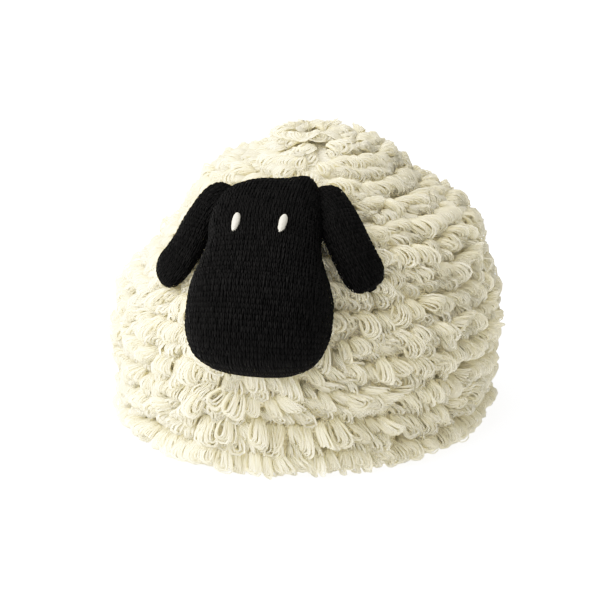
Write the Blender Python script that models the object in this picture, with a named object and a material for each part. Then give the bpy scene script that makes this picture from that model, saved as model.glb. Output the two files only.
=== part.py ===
"""A knitted tea cosy with a deep loop pile and a stuffed sheep's head on its front.

Metres, +Z up. The hem stands on z = 0 and the face looks towards -Y. The spout slit is at -X and the
handle slit at +X. The cover is one hollow wall. Its pile hangs in tiers, each with a lip that overhangs
the tier below it.
"""

import math
from collections import namedtuple

import bmesh
import bpy
from mathutils import Vector, noise

MM = 0.001

# The cover's axis stands off the frame's origin, which is the middle of the whole part's footprint.
AXIS = Vector((0.0, 10.5, 0.0)) * MM

# The cover
WALL_COLUMNS = 84
TIER_PITCH = 16.5 * MM
TIER_COUNT = 14
PILE_DEPTH = 5.5 * MM
PILE_HANG = 3.0 * MM
WALL_DEPTH = 14.0 * MM
LUMP_SIZE = 12.0 * MM
LUMP_RISE = 2.2 * MM
CAVITY_COLUMNS = 48
CAVITY_ROWS = 14
BELOW_FLOOR = 12.0 * MM
LEAN = 12.5 * MM
LEAN_START = 60.0 * MM
CROWN_TUFT_SPREAD = 16.0 * MM
CROWN_TUFT_SIZE = 10.0 * MM
CROWN_TUFT_RISE = 4.0 * MM
FIT_GAP = 0.45 * MM

# The tips of the pile, from the hem to the crown
Station = namedtuple("Station", "height radius")
OUTLINE = [
    Station(0, 111.5), Station(15, 113), Station(40, 114.5), Station(70, 113), Station(95, 104),
    Station(115, 93.5), Station(130, 82), Station(143, 68.5), Station(154, 55), Station(163, 42),
    Station(170, 29), Station(174, 14), Station(175, 0),
]

# Where the cover stands out from its turned outline, or is drawn in
Bulge = namedtuple("Bulge", "turn_deg height rise spread_deg spread_height")
BULGES = [
    Bulge(190, 151, 9, 38, 11),
    Bulge(188, 118, -9, 24, 16),
    Bulge(12, 123, 5, 34, 14),
    Bulge(100, 70, 2.5, 40, 30),
]

# One tier's section: how far up the tier, how full of pile, and how far the pile hangs below its roots
TierRow = namedtuple("TierRow", "share fullness hang")
TIER_ROWS = [TierRow(0.02, 0.0, 0.2), TierRow(0.16, 0.88, 1.0), TierRow(0.52, 1.0, 0.35)]

# The slits, each a pointed oval held open at its teapot's spout or handle
Slit = namedtuple("Slit", "name side height half_width half_height")
SLITS = [
    Slit("spout_slit_cutter", -1, 86, 17, 29),
    Slit("handle_slit_cutter", 1, 94, 11, 39),
]
SLIT_SIDES = 28
SLIT_REACH = 60.0 * MM

# The lowest tier, a strip outside the wall with locks that end just above the floor
LOCK_COUNT = 84
STRIP_BOTTOM = 9.5 * MM
STRIP_TOP = 13.0 * MM
STRIP_THICKNESS = 2.2 * MM
LOCK_REACH = 5.5 * MM
LOCK_FLOOR_GAP = 0.7 * MM
LOCK_SWING = 1.6 * MM

# The head, from its top to the muzzle's end: each section's middle, half width and half thickness
HeadRow = namedtuple("HeadRow", "across front height half_width half_thickness")
HEAD = [
    HeadRow(-4, 56.5, 153, 17, 4), HeadRow(-5, 64, 149.5, 26, 8),
    HeadRow(-5.5, 76.5, 142.5, 30, 11.5), HeadRow(-5, 86, 135.5, 31, 13.5),
    HeadRow(-3.5, 94, 128.5, 31, 15), HeadRow(-3, 101, 121, 33.5, 16),
    HeadRow(-2.5, 107, 112.5, 37.5, 17.5), HeadRow(-2, 112.5, 104.5, 39.5, 18.5),
    HeadRow(-2, 120, 89, 39.5, 18), HeadRow(-2, 123, 77.5, 36, 15),
    HeadRow(-1.5, 123, 71, 31, 10.5), HeadRow(-1, 122, 66, 21, 5),
]
HEAD_AROUND = 24
HEAD_ALONG = 18
HEAD_WRAP = 170.0 * MM
HEAD_SQUARENESS = 0.72

# The ears, from the root at the head's corner to the tip, each section as the head's
EarRow = namedtuple("EarRow", "across front height half_width half_thickness")
EARS = {
    "ear_left": [
        EarRow(-30, 57, 150.5, 6, 4), EarRow(-39.5, 61, 143.5, 9.5, 5.5),
        EarRow(-46, 68, 132.5, 11.5, 6), EarRow(-51, 75, 121, 12, 6),
        EarRow(-58, 78.5, 110, 11, 5.5), EarRow(-66.5, 77, 102, 7, 4),
    ],
    "ear_right": [
        EarRow(21, 60, 152, 6, 4), EarRow(30, 67.5, 145.5, 9.5, 5.5),
        EarRow(37, 77, 136.5, 11.5, 6), EarRow(43.5, 83.5, 126, 12, 6),
        EarRow(50.5, 88, 115.5, 11, 5.5), EarRow(55.5, 89.5, 107, 7, 4),
    ],
}
EAR_AROUND = 14
EAR_ALONG = 12
END_CAP_RISE = 0.8 * MM

# The eyes, satin stitch pads on the face
EYE_DOWN = 0.335
EYE_SHIFT = -0.3 * MM
EYE_APART = 13.2 * MM
EYE_HALF_WIDTH = 3.0 * MM
EYE_HALF_HEIGHT = 7.0 * MM
EYE_THICKNESS = 1.5 * MM
EYE_TILT = math.radians(-5)
EYE_SEAT_GAP = 0.2 * MM
EYE_AROUND = 16
EYE_ALONG = 6

Finish = namedtuple("Finish", "color roughness")
FINISHES = {
    "cream_wool": Finish((0.86, 0.83, 0.72, 1.0), 0.95),
    "black_knit": Finish((0.012, 0.012, 0.013, 1.0), 0.9),
    "white_thread": Finish((0.85, 0.84, 0.80, 1.0), 0.6),
}


# ---- Curves and tables ----

def spline_at(points, t):
    """The point at t, from 0 to 1, on a smooth curve through the points."""
    spans = len(points) - 1
    i = min(int(t * spans), spans - 1)
    f = t * spans - i
    p1, p2 = points[i], points[i + 1]
    p0 = points[i - 1] if i > 0 else 2 * p1 - p2
    p3 = points[i + 2] if i + 2 <= spans else 2 * p2 - p1
    slope = (p2 - p0) * f
    bend = (2 * p0 - 5 * p1 + 4 * p2 - p3) * f ** 2 + (3 * p1 - p0 - 3 * p2 + p3) * f ** 3
    return p1 + 0.5 * (slope + bend)


class Path:
    """A smooth curve through a table's rows, read by its length or by the share of its length."""

    FINE = 600

    def __init__(self, rows, length_columns):
        points = [Vector(row) * MM for row in rows]
        self.fine = [spline_at(points, i / self.FINE) for i in range(self.FINE + 1)]
        self.marks = [0.0]
        for a, b in zip(self.fine, self.fine[1:]):
            step = math.hypot(*(b[c] - a[c] for c in length_columns))
            self.marks.append(self.marks[-1] + step)
        self.length = self.marks[-1]

    def at(self, along):
        """The row of values at this length from the start."""
        along = max(0.0, min(self.length, along))
        low, high = 0, self.FINE
        while high - low > 1:
            middle = (low + high) // 2
            if self.marks[middle] <= along:
                low = middle
            else:
                high = middle
        span = self.marks[high] - self.marks[low]
        part = (along - self.marks[low]) / span if span > 0 else 0.0
        return self.fine[low].lerp(self.fine[high], part)

    def direction(self, along):
        """The way the curve runs there, as a unit vector of its columns."""
        step = 0.6 * MM
        return (self.at(along + step) - self.at(along - step)).normalized()


# ---- The cover's surface ----

OUTLINE_PATH = Path([(s.height, s.radius) for s in OUTLINE], (0, 1))


def lean(height):
    """The cover slumps towards its handle side above its widest part."""
    top = OUTLINE[-1].height * MM
    return LEAN * max(0.0, (height - LEAN_START) / (top - LEAN_START))


def bulge_at(turn, height):
    """How far the cover stands out from its turned outline there."""
    total = 0.0
    for b in BULGES:
        apart = (math.degrees(turn) - b.turn_deg + 180) % 360 - 180
        rise = (height - b.height * MM) / (b.spread_height * MM)
        total += b.rise * MM * math.exp(-(apart / b.spread_deg) ** 2 - rise ** 2)
    return total


def cover_point(turn, along, depth, hang=0.0):
    """A point of the cover: its turn round the axis, its length up from the hem and its depth in the pile.

    The depth runs in from the pile's tips, and hang moves the point down along the cover, the way loops fall.
    """
    height, radius = OUTLINE_PATH.at(along)
    run = OUTLINE_PATH.direction(along)
    out_height, out_radius = -run[1], run[0]
    stand_out = bulge_at(turn, height)
    radius += (stand_out - depth) * out_radius - hang * run[1]
    height += (stand_out - depth) * out_height - hang * run[0]
    radius = max(radius, 0.0) * (1 + 0.008 * math.sin(2 * turn + 0.7) + 0.005 * math.sin(3 * turn))
    x = radius * math.cos(turn) + lean(height)
    y = radius * math.sin(turn)
    return AXIS + Vector((x, y, height))


def lump(turn, along):
    """Uneven bunches of loops: -1 to 1, smooth over about one bunch."""
    radius = OUTLINE_PATH.at(along)[1]
    spot = Vector((radius * math.cos(turn), radius * math.sin(turn), 1.6 * along)) / LUMP_SIZE
    return max(-1.0, min(1.0, 1.6 * noise.noise(spot)))


def crown_tufts(point):
    """Extra height of the two tufts that stand on the crown, side by side."""
    across = abs(point.x - AXIS.x - LEAN) - CROWN_TUFT_SPREAD
    behind = point.y - AXIS.y
    near = math.exp(-(across / CROWN_TUFT_SIZE) ** 2 - (behind / (1.6 * CROWN_TUFT_SIZE)) ** 2)
    top = OUTLINE[-1].height * MM
    return CROWN_TUFT_RISE * near * max(0.0, 1 - (top - point.z) / (2.5 * CROWN_TUFT_SIZE))


# ---- Making objects ----

def new_collection(name):
    collection = bpy.data.collections.new(name)
    bpy.context.scene.collection.children.link(collection)
    return collection


def new_material(name):
    finish = FINISHES[name]
    material = bpy.data.materials.new(name)
    material.use_nodes = True
    surface = material.node_tree.nodes["Principled BSDF"]
    surface.inputs["Base Color"].default_value = finish.color
    surface.inputs["Roughness"].default_value = finish.roughness
    surface.inputs["Metallic"].default_value = 0.0
    return material


def new_object(name, bm, collection, material=None):
    mesh = bpy.data.meshes.new(name)
    bm.to_mesh(mesh)
    bm.free()
    mesh.shade_smooth()
    obj = bpy.data.objects.new(name, mesh)
    collection.objects.link(obj)
    if material:
        mesh.materials.append(material)
    return obj


def shaped_sphere(around, along, place):
    """A UV sphere with each point put at place(turn, row), faces outwards: row 0 is its lower pole."""
    bm = bmesh.new()
    bmesh.ops.create_uvsphere(bm, u_segments=around, v_segments=along, radius=1.0)
    for vert in bm.verts:
        from_top = math.acos(max(-1.0, min(1.0, vert.co.z))) / math.pi
        turn = math.atan2(vert.co.y, vert.co.x)
        vert.co = place(turn, round((1 - from_top) * along))
    if bm.calc_volume(signed=True) < 0:
        bmesh.ops.reverse_faces(bm, faces=bm.faces)
    return bm


def grow(bm, gap):
    """Moves each point of a closed mesh out by gap along its normal."""
    bm.normal_update()
    moves = [(vert, vert.normal * gap) for vert in bm.verts]
    for vert, move in moves:
        vert.co += move


def cut(obj, cutter):
    """A Boolean cut that stays on the object."""
    modifier = obj.modifiers.new("cut_" + cutter.name, "BOOLEAN")
    modifier.operation = "DIFFERENCE"
    modifier.solver = "EXACT"
    modifier.object = cutter


# ---- The cover ----

def cover_rows():
    """The cover's section from the hem up: (along, depth, hang, lumpy) for each row of points."""
    bare = PILE_DEPTH
    rows = [(0.0, bare, 0.0, False), (0.5 * TIER_PITCH, bare, 0.0, False)]
    for tier in range(1, TIER_COUNT):
        for row in TIER_ROWS:
            along = (tier + row.share) * TIER_PITCH
            rows.append((along, PILE_DEPTH * (1 - row.fullness), PILE_HANG * row.hang, row.fullness > 0))
    return rows


def make_cover(collection, material):
    rows = cover_rows()

    def place(turn, row):
        if row == 0:
            return AXIS.copy()
        if row > len(rows):
            return cover_point(0.0, OUTLINE_PATH.length, 0.0)
        along, depth, hang, lumpy = rows[row - 1]
        if lumpy:
            uneven = lump(turn, along)
            depth -= LUMP_RISE * uneven
            hang += 0.6 * LUMP_RISE * lump(turn + 1.0, along)
        point = cover_point(turn, along, depth, hang)
        point.z = 0.0 if row == 1 else point.z + crown_tufts(point)
        return point

    bm = shaped_sphere(WALL_COLUMNS, len(rows) + 1, place)
    return new_object("cosy_body", bm, collection, material)


def make_cavity_cutter(collection):
    """The space that the teapot fills, taken down below the floor so that the hem stays open."""

    def place(turn, row):
        if row == 0:
            return AXIS - Vector((0.0, 0.0, BELOW_FLOOR))
        if row == CAVITY_ROWS:
            return cover_point(0.0, OUTLINE_PATH.length, WALL_DEPTH)
        share = (row - 2) / (CAVITY_ROWS - 2)
        point = cover_point(turn, max(share, 0.0) * OUTLINE_PATH.length, WALL_DEPTH)
        if row == 1:
            point.z = -BELOW_FLOOR
        return point

    bm = shaped_sphere(CAVITY_COLUMNS, CAVITY_ROWS, place)
    return guide(new_object("cavity_cutter", bm, collection))


def guide(obj):
    """Marks an object that cuts others and is no part itself."""
    obj.hide_render = True
    obj.display_type = "WIRE"
    return obj


def make_slit_cutter(slit, collection):
    """A pointed oval bar along X, from inside the cover to outside it."""
    bm = bmesh.new()
    bmesh.ops.create_cone(
        bm, cap_ends=True, segments=SLIT_SIDES, radius1=1.0, radius2=1.0, depth=2 * SLIT_REACH
    )
    wall_x = slit.side * (OUTLINE_PATH.at(slit.height * MM)[1]) + lean(slit.height * MM)
    for vert in bm.verts:
        wide = math.copysign(abs(vert.co.y) ** 1.25, vert.co.y) * slit.half_width * MM
        high = vert.co.x * slit.half_height * MM
        vert.co = AXIS + Vector((wall_x - vert.co.z, wide, slit.height * MM + high))
    return guide(new_object(slit.name, bm, collection))


# ---- The lowest tier ----

def strip_point(turn, outward, height):
    """A point outside the bare wall at the hem."""
    wall = cover_point(turn, height, PILE_DEPTH - FIT_GAP - outward)
    wall.z = height
    return wall


def make_hem_loops(collection, material):
    """A narrow ring round the foot of the wall, with a tapered lock drawn down from every other face."""
    columns = 2 * LOCK_COUNT
    bm = bmesh.new()
    turns = [2 * math.pi * i / columns for i in range(columns)]
    corners = [
        (0.0, STRIP_BOTTOM), (STRIP_THICKNESS, STRIP_BOTTOM), (STRIP_THICKNESS, STRIP_TOP), (0.0, STRIP_TOP)
    ]
    rings = [[bm.verts.new(strip_point(t, out, z)) for t in turns] for out, z in corners]
    bottom_faces = []
    for k, ring in enumerate(rings):
        above = rings[(k + 1) % len(rings)]
        for i in range(columns):
            j = (i + 1) % columns
            face = bm.faces.new((ring[i], ring[j], above[j], above[i]))
            if k == 0:
                bottom_faces.append(face)
    bmesh.ops.recalc_face_normals(bm, faces=bm.faces)
    for lock, face in enumerate(bottom_faces[::2]):
        turn = 2 * math.pi * (2 * lock + 0.5) / columns
        draw_lock(bm, face, lock, turn)
    return new_object("hem_loops", bm, collection, material)


def draw_lock(bm, face, lock, turn):
    """Extrudes one lock from a face: out and down, a little sideways, and narrow at its tip."""
    swing = LOCK_SWING * noise.noise(Vector((0.9 * lock, 3.1, 0.0)))
    drop = STRIP_BOTTOM - LOCK_FLOOR_GAP - 0.8 * MM * (1 + noise.noise(Vector((0.7 * lock, 8.3, 0.0))))
    outward = Vector((math.cos(turn), math.sin(turn), 0.0))
    sideways = Vector((-outward.y, outward.x, 0.0))
    for share, width, reach in ((0.45, 1.25, 0.75), (0.55, 0.7, 0.25)):
        face = bmesh.ops.extrude_discrete_faces(bm, faces=[face])["faces"][0]
        middle = face.calc_center_median()
        move = outward * LOCK_REACH * reach + sideways * swing - Vector((0, 0, drop * share))
        for vert in face.verts:
            vert.co = middle + (vert.co - middle) * width + move
            vert.co.z = max(vert.co.z, LOCK_FLOOR_GAP)


# ---- The head ----

HEAD_PATH = Path(HEAD, (1, 2))


def head_point(turn, share):
    """A point of the head at a turn round its spine and a share of the way from its top to the muzzle.

    The section is a rounded slab that wraps a little round the cover.
    """
    along = share * HEAD_PATH.length
    middle, front, height, half_width, half_thickness = HEAD_PATH.at(along)
    run = HEAD_PATH.direction(along)
    run = Vector((run[1], run[2])).normalized()
    out_front, out_height = -run[1], run[0]
    across = half_width * math.copysign(abs(math.cos(turn)) ** HEAD_SQUARENESS, math.cos(turn))
    proud = half_thickness * math.copysign(abs(math.sin(turn)) ** 0.85, math.sin(turn))
    proud -= across ** 2 / (2 * HEAD_WRAP)
    return AXIS + Vector((middle + across, -(front + proud * out_front), height + proud * out_height))


def end_cap(share, point_at):
    """The pole of a shaped sphere: the middle of its last section, drawn out a little."""
    middle = (point_at(0.0, share) + point_at(math.pi, share)) / 2
    inner = (point_at(0.0, 1 - share) + point_at(math.pi, 1 - share)) / 2
    return middle + (middle - inner).normalized() * END_CAP_RISE


def make_head(name, collection, material, gap=0.0):
    """The stuffed head, or with a gap the bed that it presses into the pile."""

    def place(turn, row):
        if row in (0, HEAD_ALONG):
            return end_cap(1.0 - row / HEAD_ALONG, head_point)
        return head_point(turn, 1 - (row - 1) / (HEAD_ALONG - 2))

    bm = shaped_sphere(HEAD_AROUND, HEAD_ALONG, place)
    grow(bm, gap)
    return new_object(name, bm, collection, material)


# ---- The ears ----

def make_ear(name, rows, collection, material, gap=0.0):
    """One ear, a thin pad that hangs along the cover, or with a gap the bed that it presses in."""
    path = Path(rows, (0, 1, 2))

    def ear_point(turn, share):
        along = share * path.length
        across, front, height, half_width, half_thickness = path.at(along)
        middle = AXIS + Vector((across, -front, height))
        run = path.direction(along)
        run = Vector((run[0], -run[1], run[2])).normalized()
        outward = Vector((across - lean(height), -front, 0.55 * front)).normalized()
        wide = run.cross(outward).normalized()
        proud = wide.cross(run).normalized()
        return middle + wide * half_width * math.cos(turn) + proud * half_thickness * math.sin(turn)

    def place(turn, row):
        if row in (0, EAR_ALONG):
            return end_cap(1.0 - row / EAR_ALONG, ear_point)
        return ear_point(turn, 1 - (row - 1) / (EAR_ALONG - 2))

    bm = shaped_sphere(EAR_AROUND, EAR_ALONG, place)
    grow(bm, gap)
    return new_object(name, bm, collection, material)


# ---- The eyes ----

def face_frame(across, share):
    """A point on the face at this distance from its middle, and the ways across, down and out of it."""
    width = HEAD_PATH.at(share * HEAD_PATH.length)[3]
    out_of_middle = min(1.0, (abs(across) / width) ** (1 / HEAD_SQUARENESS))
    turn = math.acos(math.copysign(out_of_middle, across))
    here = head_point(turn, share)
    step = 0.02
    sideways = (head_point(turn - step, share) - head_point(turn + step, share)).normalized()
    down = (head_point(turn, share + step) - head_point(turn, share - step)).normalized()
    return here, sideways, down, down.cross(sideways).normalized()


def make_eye(name, across, collection, material):
    """One eye: a low pad of thread, round at its top and pointed at its foot."""
    here, sideways, down, out = face_frame(across, EYE_DOWN)
    if out.y > 0:
        out = -out
    lengthwise = (down * math.cos(EYE_TILT) - sideways * math.sin(EYE_TILT)).normalized()
    crosswise = (sideways * math.cos(EYE_TILT) + down * math.sin(EYE_TILT)).normalized()
    seat = here + out * (EYE_SEAT_GAP + EYE_THICKNESS / 2)

    def place(turn, row):
        lift = math.cos(math.pi * row / EYE_ALONG)
        ring = math.sin(math.pi * row / EYE_ALONG) ** 0.6 if 0 < row < EYE_ALONG else 0.0
        pointed = 1 - 0.35 * max(0.0, math.sin(turn)) ** 2
        x = math.cos(turn) * ring * pointed * EYE_HALF_WIDTH
        y = math.sin(turn) * ring * EYE_HALF_HEIGHT
        return seat + crosswise * x + lengthwise * y + out * lift * EYE_THICKNESS / 2

    bm = shaped_sphere(EYE_AROUND, EYE_ALONG, place)
    return new_object(name, bm, collection, material)


# ---- The whole cosy ----

def clear_scene():
    for obj in list(bpy.data.objects):
        bpy.data.objects.remove(obj, do_unlink=True)


def build():
    clear_scene()
    parts = new_collection("tea_cosy")
    cutters = new_collection("cutters")
    wool = new_material("cream_wool")
    knit = new_material("black_knit")
    thread = new_material("white_thread")

    cover = make_cover(parts, wool)
    cut(cover, make_cavity_cutter(cutters))
    for slit in SLITS:
        cut(cover, make_slit_cutter(slit, cutters))
    make_hem_loops(parts, wool)

    make_head("head", parts, knit)
    head_bed = guide(make_head("head_bed_cutter", cutters, None, FIT_GAP))
    for name, rows in EARS.items():
        cut(make_ear(name, rows, parts, knit), head_bed)
        cut(cover, guide(make_ear(name + "_bed_cutter", rows, cutters, None, FIT_GAP)))
    cut(cover, head_bed)
    make_eye("eye_left", EYE_SHIFT - EYE_APART, parts, thread)
    make_eye("eye_right", EYE_SHIFT + EYE_APART, parts, thread)


build()
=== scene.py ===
# %% [markdown]
# # A knitted tea cosy with a sheep's face
# The cosy is a hollow knitted dome that fits over a teapot. Its outside is a deep pile of yarn loops in
# tiers, and a stuffed black head with two hanging ears is sewn to its front. The frame already holds the
# plain solids, so this lesson dresses them: first the measures they share, then the camera and the light,
# the finishes, the knitted backing, the pile with its crown and its bound edges, the head, the ears and the
# eyes, and at last the loose fibres of the yarn.

# %% Load the frame
import math

import bmesh
import bpy
import numpy as np
from mathutils import Matrix, Vector, noise
from mathutils.bvhtree import BVHTree


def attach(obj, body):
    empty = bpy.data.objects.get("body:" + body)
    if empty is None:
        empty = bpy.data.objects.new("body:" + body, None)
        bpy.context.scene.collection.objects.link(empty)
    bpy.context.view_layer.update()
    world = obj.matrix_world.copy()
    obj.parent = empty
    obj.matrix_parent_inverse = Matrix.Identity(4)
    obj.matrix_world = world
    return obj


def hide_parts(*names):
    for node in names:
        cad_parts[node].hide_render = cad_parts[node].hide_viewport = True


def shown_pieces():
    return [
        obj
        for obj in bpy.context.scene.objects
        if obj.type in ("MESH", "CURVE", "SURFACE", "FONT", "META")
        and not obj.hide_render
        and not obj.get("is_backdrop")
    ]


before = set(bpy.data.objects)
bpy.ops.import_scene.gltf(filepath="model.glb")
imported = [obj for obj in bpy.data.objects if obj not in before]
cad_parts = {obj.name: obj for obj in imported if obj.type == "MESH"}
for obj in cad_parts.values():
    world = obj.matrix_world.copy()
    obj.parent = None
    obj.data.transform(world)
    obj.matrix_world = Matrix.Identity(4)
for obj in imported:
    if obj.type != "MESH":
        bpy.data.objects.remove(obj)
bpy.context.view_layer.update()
print("nodes:", sorted(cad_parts))

# %% [markdown]
# ## The measures of the cosy
# The cover follows one turned outline, so a few numbers place every loop on it. The outline gives the
# height and the radius of the pile's tips, from the hem to the crown. A cosy on a pot isn't quite round: it
# slumps to one side, and it stands out or falls in where the pot and the head push and pull it. All lengths
# are written in millimetres and turned to metres once.

# %% The outline and its bulges
MM = 0.001
FULL_TURN = 2 * math.pi
AXIS = np.array((0.0, 10.5, 0.0)) * MM
# height and radius
OUTLINE = [
    (0, 111.5), (15, 113), (40, 114.5), (70, 113), (95, 104), (115, 93.5), (130, 82),
    (143, 68.5), (154, 55), (163, 42), (170, 29), (174, 14), (175, 0),
]
CROWN_HEIGHT = 175 * MM
LEAN = 12.5 * MM
LEAN_START = 60 * MM
TIER_PITCH = 16.5 * MM
TIER_COUNT = 14
# where the cover stands out, or in where the rise is negative: turn in degrees, height, rise, spread in
# degrees and spread in height
BULGES = [
    (190, 151, 5, 38, 11), (188, 118, -9, 24, 16), (12, 123, 2.5, 34, 14), (100, 70, 2.5, 40, 30),
    (0, 150, -5, 45, 13), (0, 20, -5, 35, 22), (180, 25, -3, 35, 22), (-105, 8, 3.5, 45, 16),
]
# how round the cover is: the waves round it, where they start and how high they are, as a share
WAVES = [(2, 0.7, 0.008), (3, 0.0, 0.005)]
# half the distance between the two tufts on the crown, their size and their rise
TUFT_SPREAD, TUFT_SIZE, TUFT_RISE = 16 * MM, 10 * MM, 1.5 * MM
print(len(OUTLINE), "rows from the hem to the crown at", round(CROWN_HEIGHT / MM), "mm")

# %% [markdown]
# ### One smooth curve
# A table of a dozen rows becomes a smooth curve when each span is blended with its neighbours, which is
# the Catmull-Rom rule. Measuring that curve's length once lets everything else be placed by length.

# %% A smooth path through a table


class Path:
    """A smooth curve through a table's rows, read by its length. FINE is how many steps it is cut into."""

    FINE = 600

    def __init__(self, rows, length_columns):
        rows = np.array(rows, float) * MM
        padded = np.vstack([2 * rows[0] - rows[1], rows, 2 * rows[-1] - rows[-2]])
        place = np.linspace(0, len(rows) - 1, self.FINE + 1)
        span = np.minimum(place.astype(int), len(rows) - 2)
        f = (place - span)[:, None]
        p0, p1, p2, p3 = (padded[span + k] for k in range(4))
        bend = (2 * p0 - 5 * p1 + 4 * p2 - p3) * f ** 2 + (3 * p1 - p0 - 3 * p2 + p3) * f ** 3
        self.fine = p1 + 0.5 * ((p2 - p0) * f + bend)
        self.marks = lengths_along(self.fine[:, length_columns])
        self.length = self.marks[-1]

    def at(self, along):
        """The columns' values at these lengths from the start."""
        return [np.interp(along, self.marks, column) for column in self.fine.T]

    def direction(self, along, columns):
        """The way that some columns run there, as unit vectors."""
        step = 0.6 * MM
        ahead, behind = self.at(along + step), self.at(along - step)
        return unit(np.stack([ahead[c] - behind[c] for c in columns], axis=-1))


def unit(vectors):
    return vectors / np.maximum(np.linalg.norm(vectors, axis=-1, keepdims=True), 1e-12)


def lengths_along(points):
    """How far each point of a line is from the first one, along the line."""
    steps = np.linalg.norm(np.diff(points, axis=0), axis=1)
    return np.concatenate([[0.0], np.cumsum(steps)])


outline_path = Path(OUTLINE, [0, 1])
print(f"outline: {outline_path.length / MM:.1f} mm from hem to crown")

# %% [markdown]
# ### One place on the cover
# A turn round the axis, a length up from the hem and a depth under the tips say where anything on the cover
# is. One function turns the three into a point, with the lean, the bulges and the crown's tufts in it, so
# the backing, the loops and the edges all agree.

# %% A point on the cover


def lean_at(height):
    """The cover slumps towards its handle side above its widest part."""
    return LEAN * np.maximum(0.0, (height - LEAN_START) / (CROWN_HEIGHT - LEAN_START))


def bulge_at(turn, height):
    """How far the cover stands out from its turned outline there."""
    total = np.zeros_like(height)
    for turn_deg, middle, rise, spread_deg, spread in BULGES:
        apart = (np.degrees(turn) - turn_deg + 180) % 360 - 180
        total += rise * MM * np.exp(-(apart / spread_deg) ** 2 - ((height / MM - middle) / spread) ** 2)
    return total


def crown_rise(points):
    """The extra height of the two tufts that stand side by side on the crown."""
    across = np.abs(points[..., 0] - AXIS[0] - LEAN) - TUFT_SPREAD
    behind = points[..., 1] - AXIS[1]
    depth, reach_down = 1.6 * TUFT_SIZE, 2.5 * TUFT_SIZE
    near = np.exp(-(across / TUFT_SIZE) ** 2 - (behind / depth) ** 2)
    return TUFT_RISE * near * np.maximum(0.0, 1 - (CROWN_HEIGHT - points[..., 2]) / reach_down)


def cover_point(turn, along, depth):
    """Points of the cover, by turn round the axis, length up from the hem and depth under the tips."""
    turn, along, depth = np.broadcast_arrays(turn, along, depth)
    height, radius = outline_path.at(along)
    run = outline_path.direction(along, (0, 1))
    stand_out = bulge_at(turn, height) - depth
    radius = np.maximum(radius + stand_out * run[..., 0], 0.0)
    wave = 1.0
    for count, start, share in WAVES:
        wave = wave + share * np.sin(count * turn + start)
    radius = radius * wave
    height = height - stand_out * run[..., 1]
    x = radius * np.cos(turn) + lean_at(height)
    points = AXIS + np.stack([x, radius * np.sin(turn), height], axis=-1)
    points[..., 2] += crown_rise(points)
    return points


front_point = cover_point(-math.pi / 2, 60 * MM, 0.0)
print("front of the cover, 60 mm up from the hem:", front_point.round(4))

# %% [markdown]
# ## The camera and the light
# The camera stands low and a little to the right of the face, as one looks at a teapot on a table. A long
# lens keeps the dome's shape true. It comes first, because every later choice is judged through it.

# %% The camera
CAMERA_AZIMUTH = math.radians(12)
CAMERA_ELEVATION = math.radians(17.41)
CAMERA_DISTANCE = 1.2
CAMERA_LENS = 121.7
# the height of the cosy's middle, and how far past it the camera looks
MIDDLE_HEIGHT = 90 * MM
AIM_LEFT, AIM_DOWN = 3.5 * MM, 21.9 * MM

back = Vector((
    math.sin(CAMERA_AZIMUTH) * math.cos(CAMERA_ELEVATION),
    -math.cos(CAMERA_AZIMUTH) * math.cos(CAMERA_ELEVATION),
    math.sin(CAMERA_ELEVATION),
))
right = back.cross(Vector((0, 0, 1))).normalized() * -1
above = back.cross(right)
middle = Vector(AXIS) + Vector((0, 0, MIDDLE_HEIGHT))
stand = middle + back * CAMERA_DISTANCE
aim = middle - right * AIM_LEFT - above * AIM_DOWN

camera_data = bpy.data.cameras.new("camera")
camera_data.lens = CAMERA_LENS
camera = bpy.data.objects.new("camera", camera_data)
camera.location = stand
camera.rotation_euler = (stand - aim).to_track_quat("Z", "Y").to_euler()
bpy.context.scene.collection.objects.link(camera)
bpy.context.scene.camera = camera
print("camera at", [round(v, 3) for v in stand], "right", [round(v, 2) for v in right])

# %% [markdown]
# ### A bright room
# White wool is mostly seen by the light that bounces between its loops, so the room itself is bright. A
# large soft light at the upper left gives the pile its direction and leaves the right side duller. A small
# one near the camera looks into the gaps between the strands, and one overhead lights the crown. The room
# is a plain background colour, because a built room would only add walls that nobody sees.

# %% The floor and the lights
FLOOR_WIDTH = 12


def deselect_all():
    for obj in bpy.context.selected_objects:
        obj.select_set(False)


def add_area_light(name, place, size, power, color):
    data = bpy.data.lights.new(name, "AREA")
    data.shape = "DISK"
    data.size = size
    data.energy = power
    data.color = color
    light = bpy.data.objects.new(name, data)
    light.location = place
    light.rotation_euler = (Vector(place) - middle).to_track_quat("Z", "Y").to_euler()
    bpy.context.scene.collection.objects.link(light)
    return light


def make_floor():
    deselect_all()
    bpy.ops.mesh.primitive_plane_add(size=1)
    floor = bpy.context.active_object
    floor.name = "floor"
    floor.data.transform(floor.matrix_world @ Matrix.Diagonal((FLOOR_WIDTH, FLOOR_WIDTH, 1, 1)))
    floor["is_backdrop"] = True
    return floor


floor = make_floor()
lights = [
    add_area_light("key_light", (-1.6, -0.7, 1.0), 2.0, 54, (1.0, 0.98, 0.945)),
    add_area_light("front_fill", (-0.6, -1.35, 0.8), 1.0, 10, (1.0, 0.975, 0.94)),
    add_area_light("top_light", (-0.6, -0.2, 1.8), 1.8, 51, (1.0, 0.975, 0.94)),
]
print("lights:", [(light.name, light.data.energy) for light in lights])

# %% The room


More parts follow.
